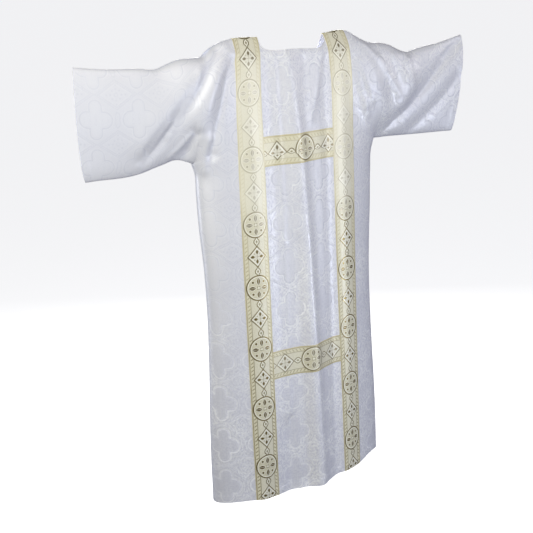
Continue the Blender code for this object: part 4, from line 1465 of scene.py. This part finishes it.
# %% Finish of the thread
THREAD_CREAM = (linear(236, 230, 206), linear(206, 197, 164))
THREAD_WHITE = (linear(240, 240, 246), linear(214, 215, 228))
TONE_CHANGES = 60.0  # to a metre
TWIST = (2500.0, 1.0)  # noise of the twist: features to a metre, detail
TWIST_HEIGHT = 0.0001  # metres
THREAD_ROUGHNESS = {"even": 0.5, "twist": 0.2}
THREAD_SETTINGS = {"Specular IOR Level": 0.4, "Sheen Weight": 0.2}


def thread_finish(name, light, dark):
    """Spun thread: a slow change of tone along it and a fine twist in the bump."""
    desk = Desk(name)
    tone = desk.layer(light, (desk.noise(TONE_CHANGES), dark))
    twist = desk.noise(*TWIST)
    return desk.woven_surface(twist, TWIST_HEIGHT, THREAD_SETTINGS, Base_Color=tone,
                              Roughness=desk.total(THREAD_ROUGHNESS, {"twist": twist}))


cream_thread = thread_finish("cream_thread", *THREAD_CREAM)
white_thread = thread_finish("white_thread", *THREAD_WHITE)
print("threads:", cream_thread.name, "and", white_thread.name)

# %% [markdown]
# ## Dressing the pieces
#
# Each sheet now gets its finish, rides on the garment's one body and stands for its plain piece, which
# is hidden.

# %% Finish and body of each sheet
STANDS_FOR = {name: name.rsplit("_", 1)[0] for name in made_pieces}
STANDS_FOR.update(front_cloth="front_panel", back_cloth="back_panel")
SEWN_TO = dict.fromkeys(made_pieces, ["front_cloth", "back_cloth"])
SEWN_TO.update(front_cloth=["back_cloth"], back_cloth=["front_cloth"],
               crossbar_chest_band=["front_cloth"], crossbar_knee_band=["front_cloth"])


def dress(name):
    """Finish a sheet and its stitches, put both on the garment's body and hide the plain piece they
    stand for.
    """
    piece, area, marks = made_pieces[name]
    stitches = stitch_rows[name]
    is_band = name.endswith("_band")
    band_finish = crossbar_galloon if name.startswith("crossbar") else galloon
    piece.data.materials.append(band_finish if is_band else damask)
    stitches.data.materials.append(cream_thread if is_band else white_thread)
    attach(piece, "root")
    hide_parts(STANDS_FOR[name])
    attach(stitches, "root")
    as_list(SEWN_TO[name])


for name in made_pieces:
    dress(name)

# %% [markdown]
# ## Floor and light
#
# The garment is shown as in a pale studio, with a floor that runs to the horizon. A floor as pale as
# this one would fill every shadow from below, so it is seen but sends no light back. One lamp on the
# wearer's right, near the viewer, models the folds. Weak ones bring out the gloss of the satin and the
# gold thread and put a rim of light on the shoulders. Two behind light the back, and two small ones
# inside stand for the light that comes through the thin cloth.

# %% Floor
FLOOR_SIZE = 600.0
FLOOR_LEVEL = -1.75
FLOOR_TONE = linear(236, 236, 236)
FLOOR_SHADE = linear(232, 232, 233)
FLOOR_CLOUDS = 2.0  # to a metre
FLOOR_CLOUDING = 0.3
FLOOR_SETTINGS = {"Roughness": 0.9, "Specular IOR Level": 0.1,
                  "Emission Color": (1.0, 1.0, 1.0, 1.0), "Emission Strength": 0.80}


def add_floor():
    """A floor that is seen but sends no light back onto the cloth."""
    deselect_all()
    bpy.ops.mesh.primitive_plane_add(size=FLOOR_SIZE, location=(0.0, 0.0, FLOOR_LEVEL))
    floor = bpy.context.object
    floor.name = "studio_floor"
    desk = Desk("pale_floor")
    tone = desk.layer(FLOOR_TONE, (FLOOR_CLOUDING * desk.noise(FLOOR_CLOUDS), FLOOR_SHADE))
    floor.data.materials.append(desk.surface(FLOOR_SETTINGS, Base_Color=tone))
    floor.visible_diffuse = False
    floor.visible_glossy = False


add_floor()
print("floor at", FLOOR_LEVEL, "m")

# %% Lamps and air
AIR = (0.80, 0.82, 1.0)
AIR_STRENGTH = 0.12
LAMPS = (
    # name, place, what it points at, side of the square lamp, watts, colour
    ("key", (-1.7, -1.5, 0.6), (-0.1, 0.0, -0.3), 1.5, 57.0, (1.0, 0.99, 0.87)),
    ("streak", (1.43, -2.12, -0.45), (0.0, 0.0, -0.4), 0.5, 7.0, (0.88, 0.90, 1.0)),
    ("low_streak", (1.75, -1.85, -1.3), (0.0, 0.0, -0.8), 0.5, 10.5, (0.82, 0.88, 1.0)),
    ("low_front", (0.2, -2.4, -1.4), (0.0, 0.0, -0.6), 0.8, 4.0, (0.78, 0.87, 1.0)),
    ("right", (2.2, -0.6, 0.2), (0.0, 0.0, -0.5), 0.8, 6.5, (1.0, 0.955, 0.92)),
    ("top", (0.2, -1.6, 1.4), (0.0, 0.0, -0.4), 0.8, 2.0, (1.0, 0.85, 0.87)),
    ("rim", (-0.6, 1.6, 1.4), (0.0, 0.0, -0.2), 0.8, 6.0, (0.55, 0.66, 1.0)),
    ("back_key", (1.6, 2.4, 0.4), (0.0, 0.1, -0.5), 1.5, 55.0, (1.0, 0.98, 0.94)),
    ("back_fill", (-1.8, 2.0, -0.6), (0.0, 0.1, -0.7), 1.5, 22.0, (0.92, 0.95, 1.0)),
    ("inside_neck", (0.02, 0.03, -0.30), (0.10, 0.04, 0.0), 0.05, 0.5, (0.95, 0.96, 1.0)),
    ("inside_hem", (0.05, 0.04, -1.00), (0.22, 0.08, -1.3), 0.05, 0.4, (0.95, 0.96, 1.0)),
)


def add_lamp(name, place, target, side, watts, colour):
    """A square lamp that the camera doesn't see, turned towards its target."""
    data = bpy.data.lights.new(name, "AREA")
    data.shape = "SQUARE"
    data.size = side
    data.energy = watts
    data.color = colour
    lamp = bpy.data.objects.new(name, data)
    lamp.visible_camera = False
    bpy.context.scene.collection.objects.link(lamp)
    lamp.location = place
    lamp.rotation_euler = (Vector(target) - Vector(place)).to_track_quat("-Z", "Y").to_euler()


for lamp in LAMPS:
    add_lamp(*lamp)
world = bpy.data.worlds.new("studio_air")
bpy.context.scene.world = world
world.use_nodes = True
world.node_tree.nodes["Background"].inputs["Color"].default_value = (*AIR, 1.0)
world.node_tree.nodes["Background"].inputs["Strength"].default_value = AIR_STRENGTH
bpy.context.scene.view_settings.view_transform = "Standard"
print(len(LAMPS), "lamps of", sum(lamp[4] for lamp in LAMPS), "watts in all")

# %% [markdown]
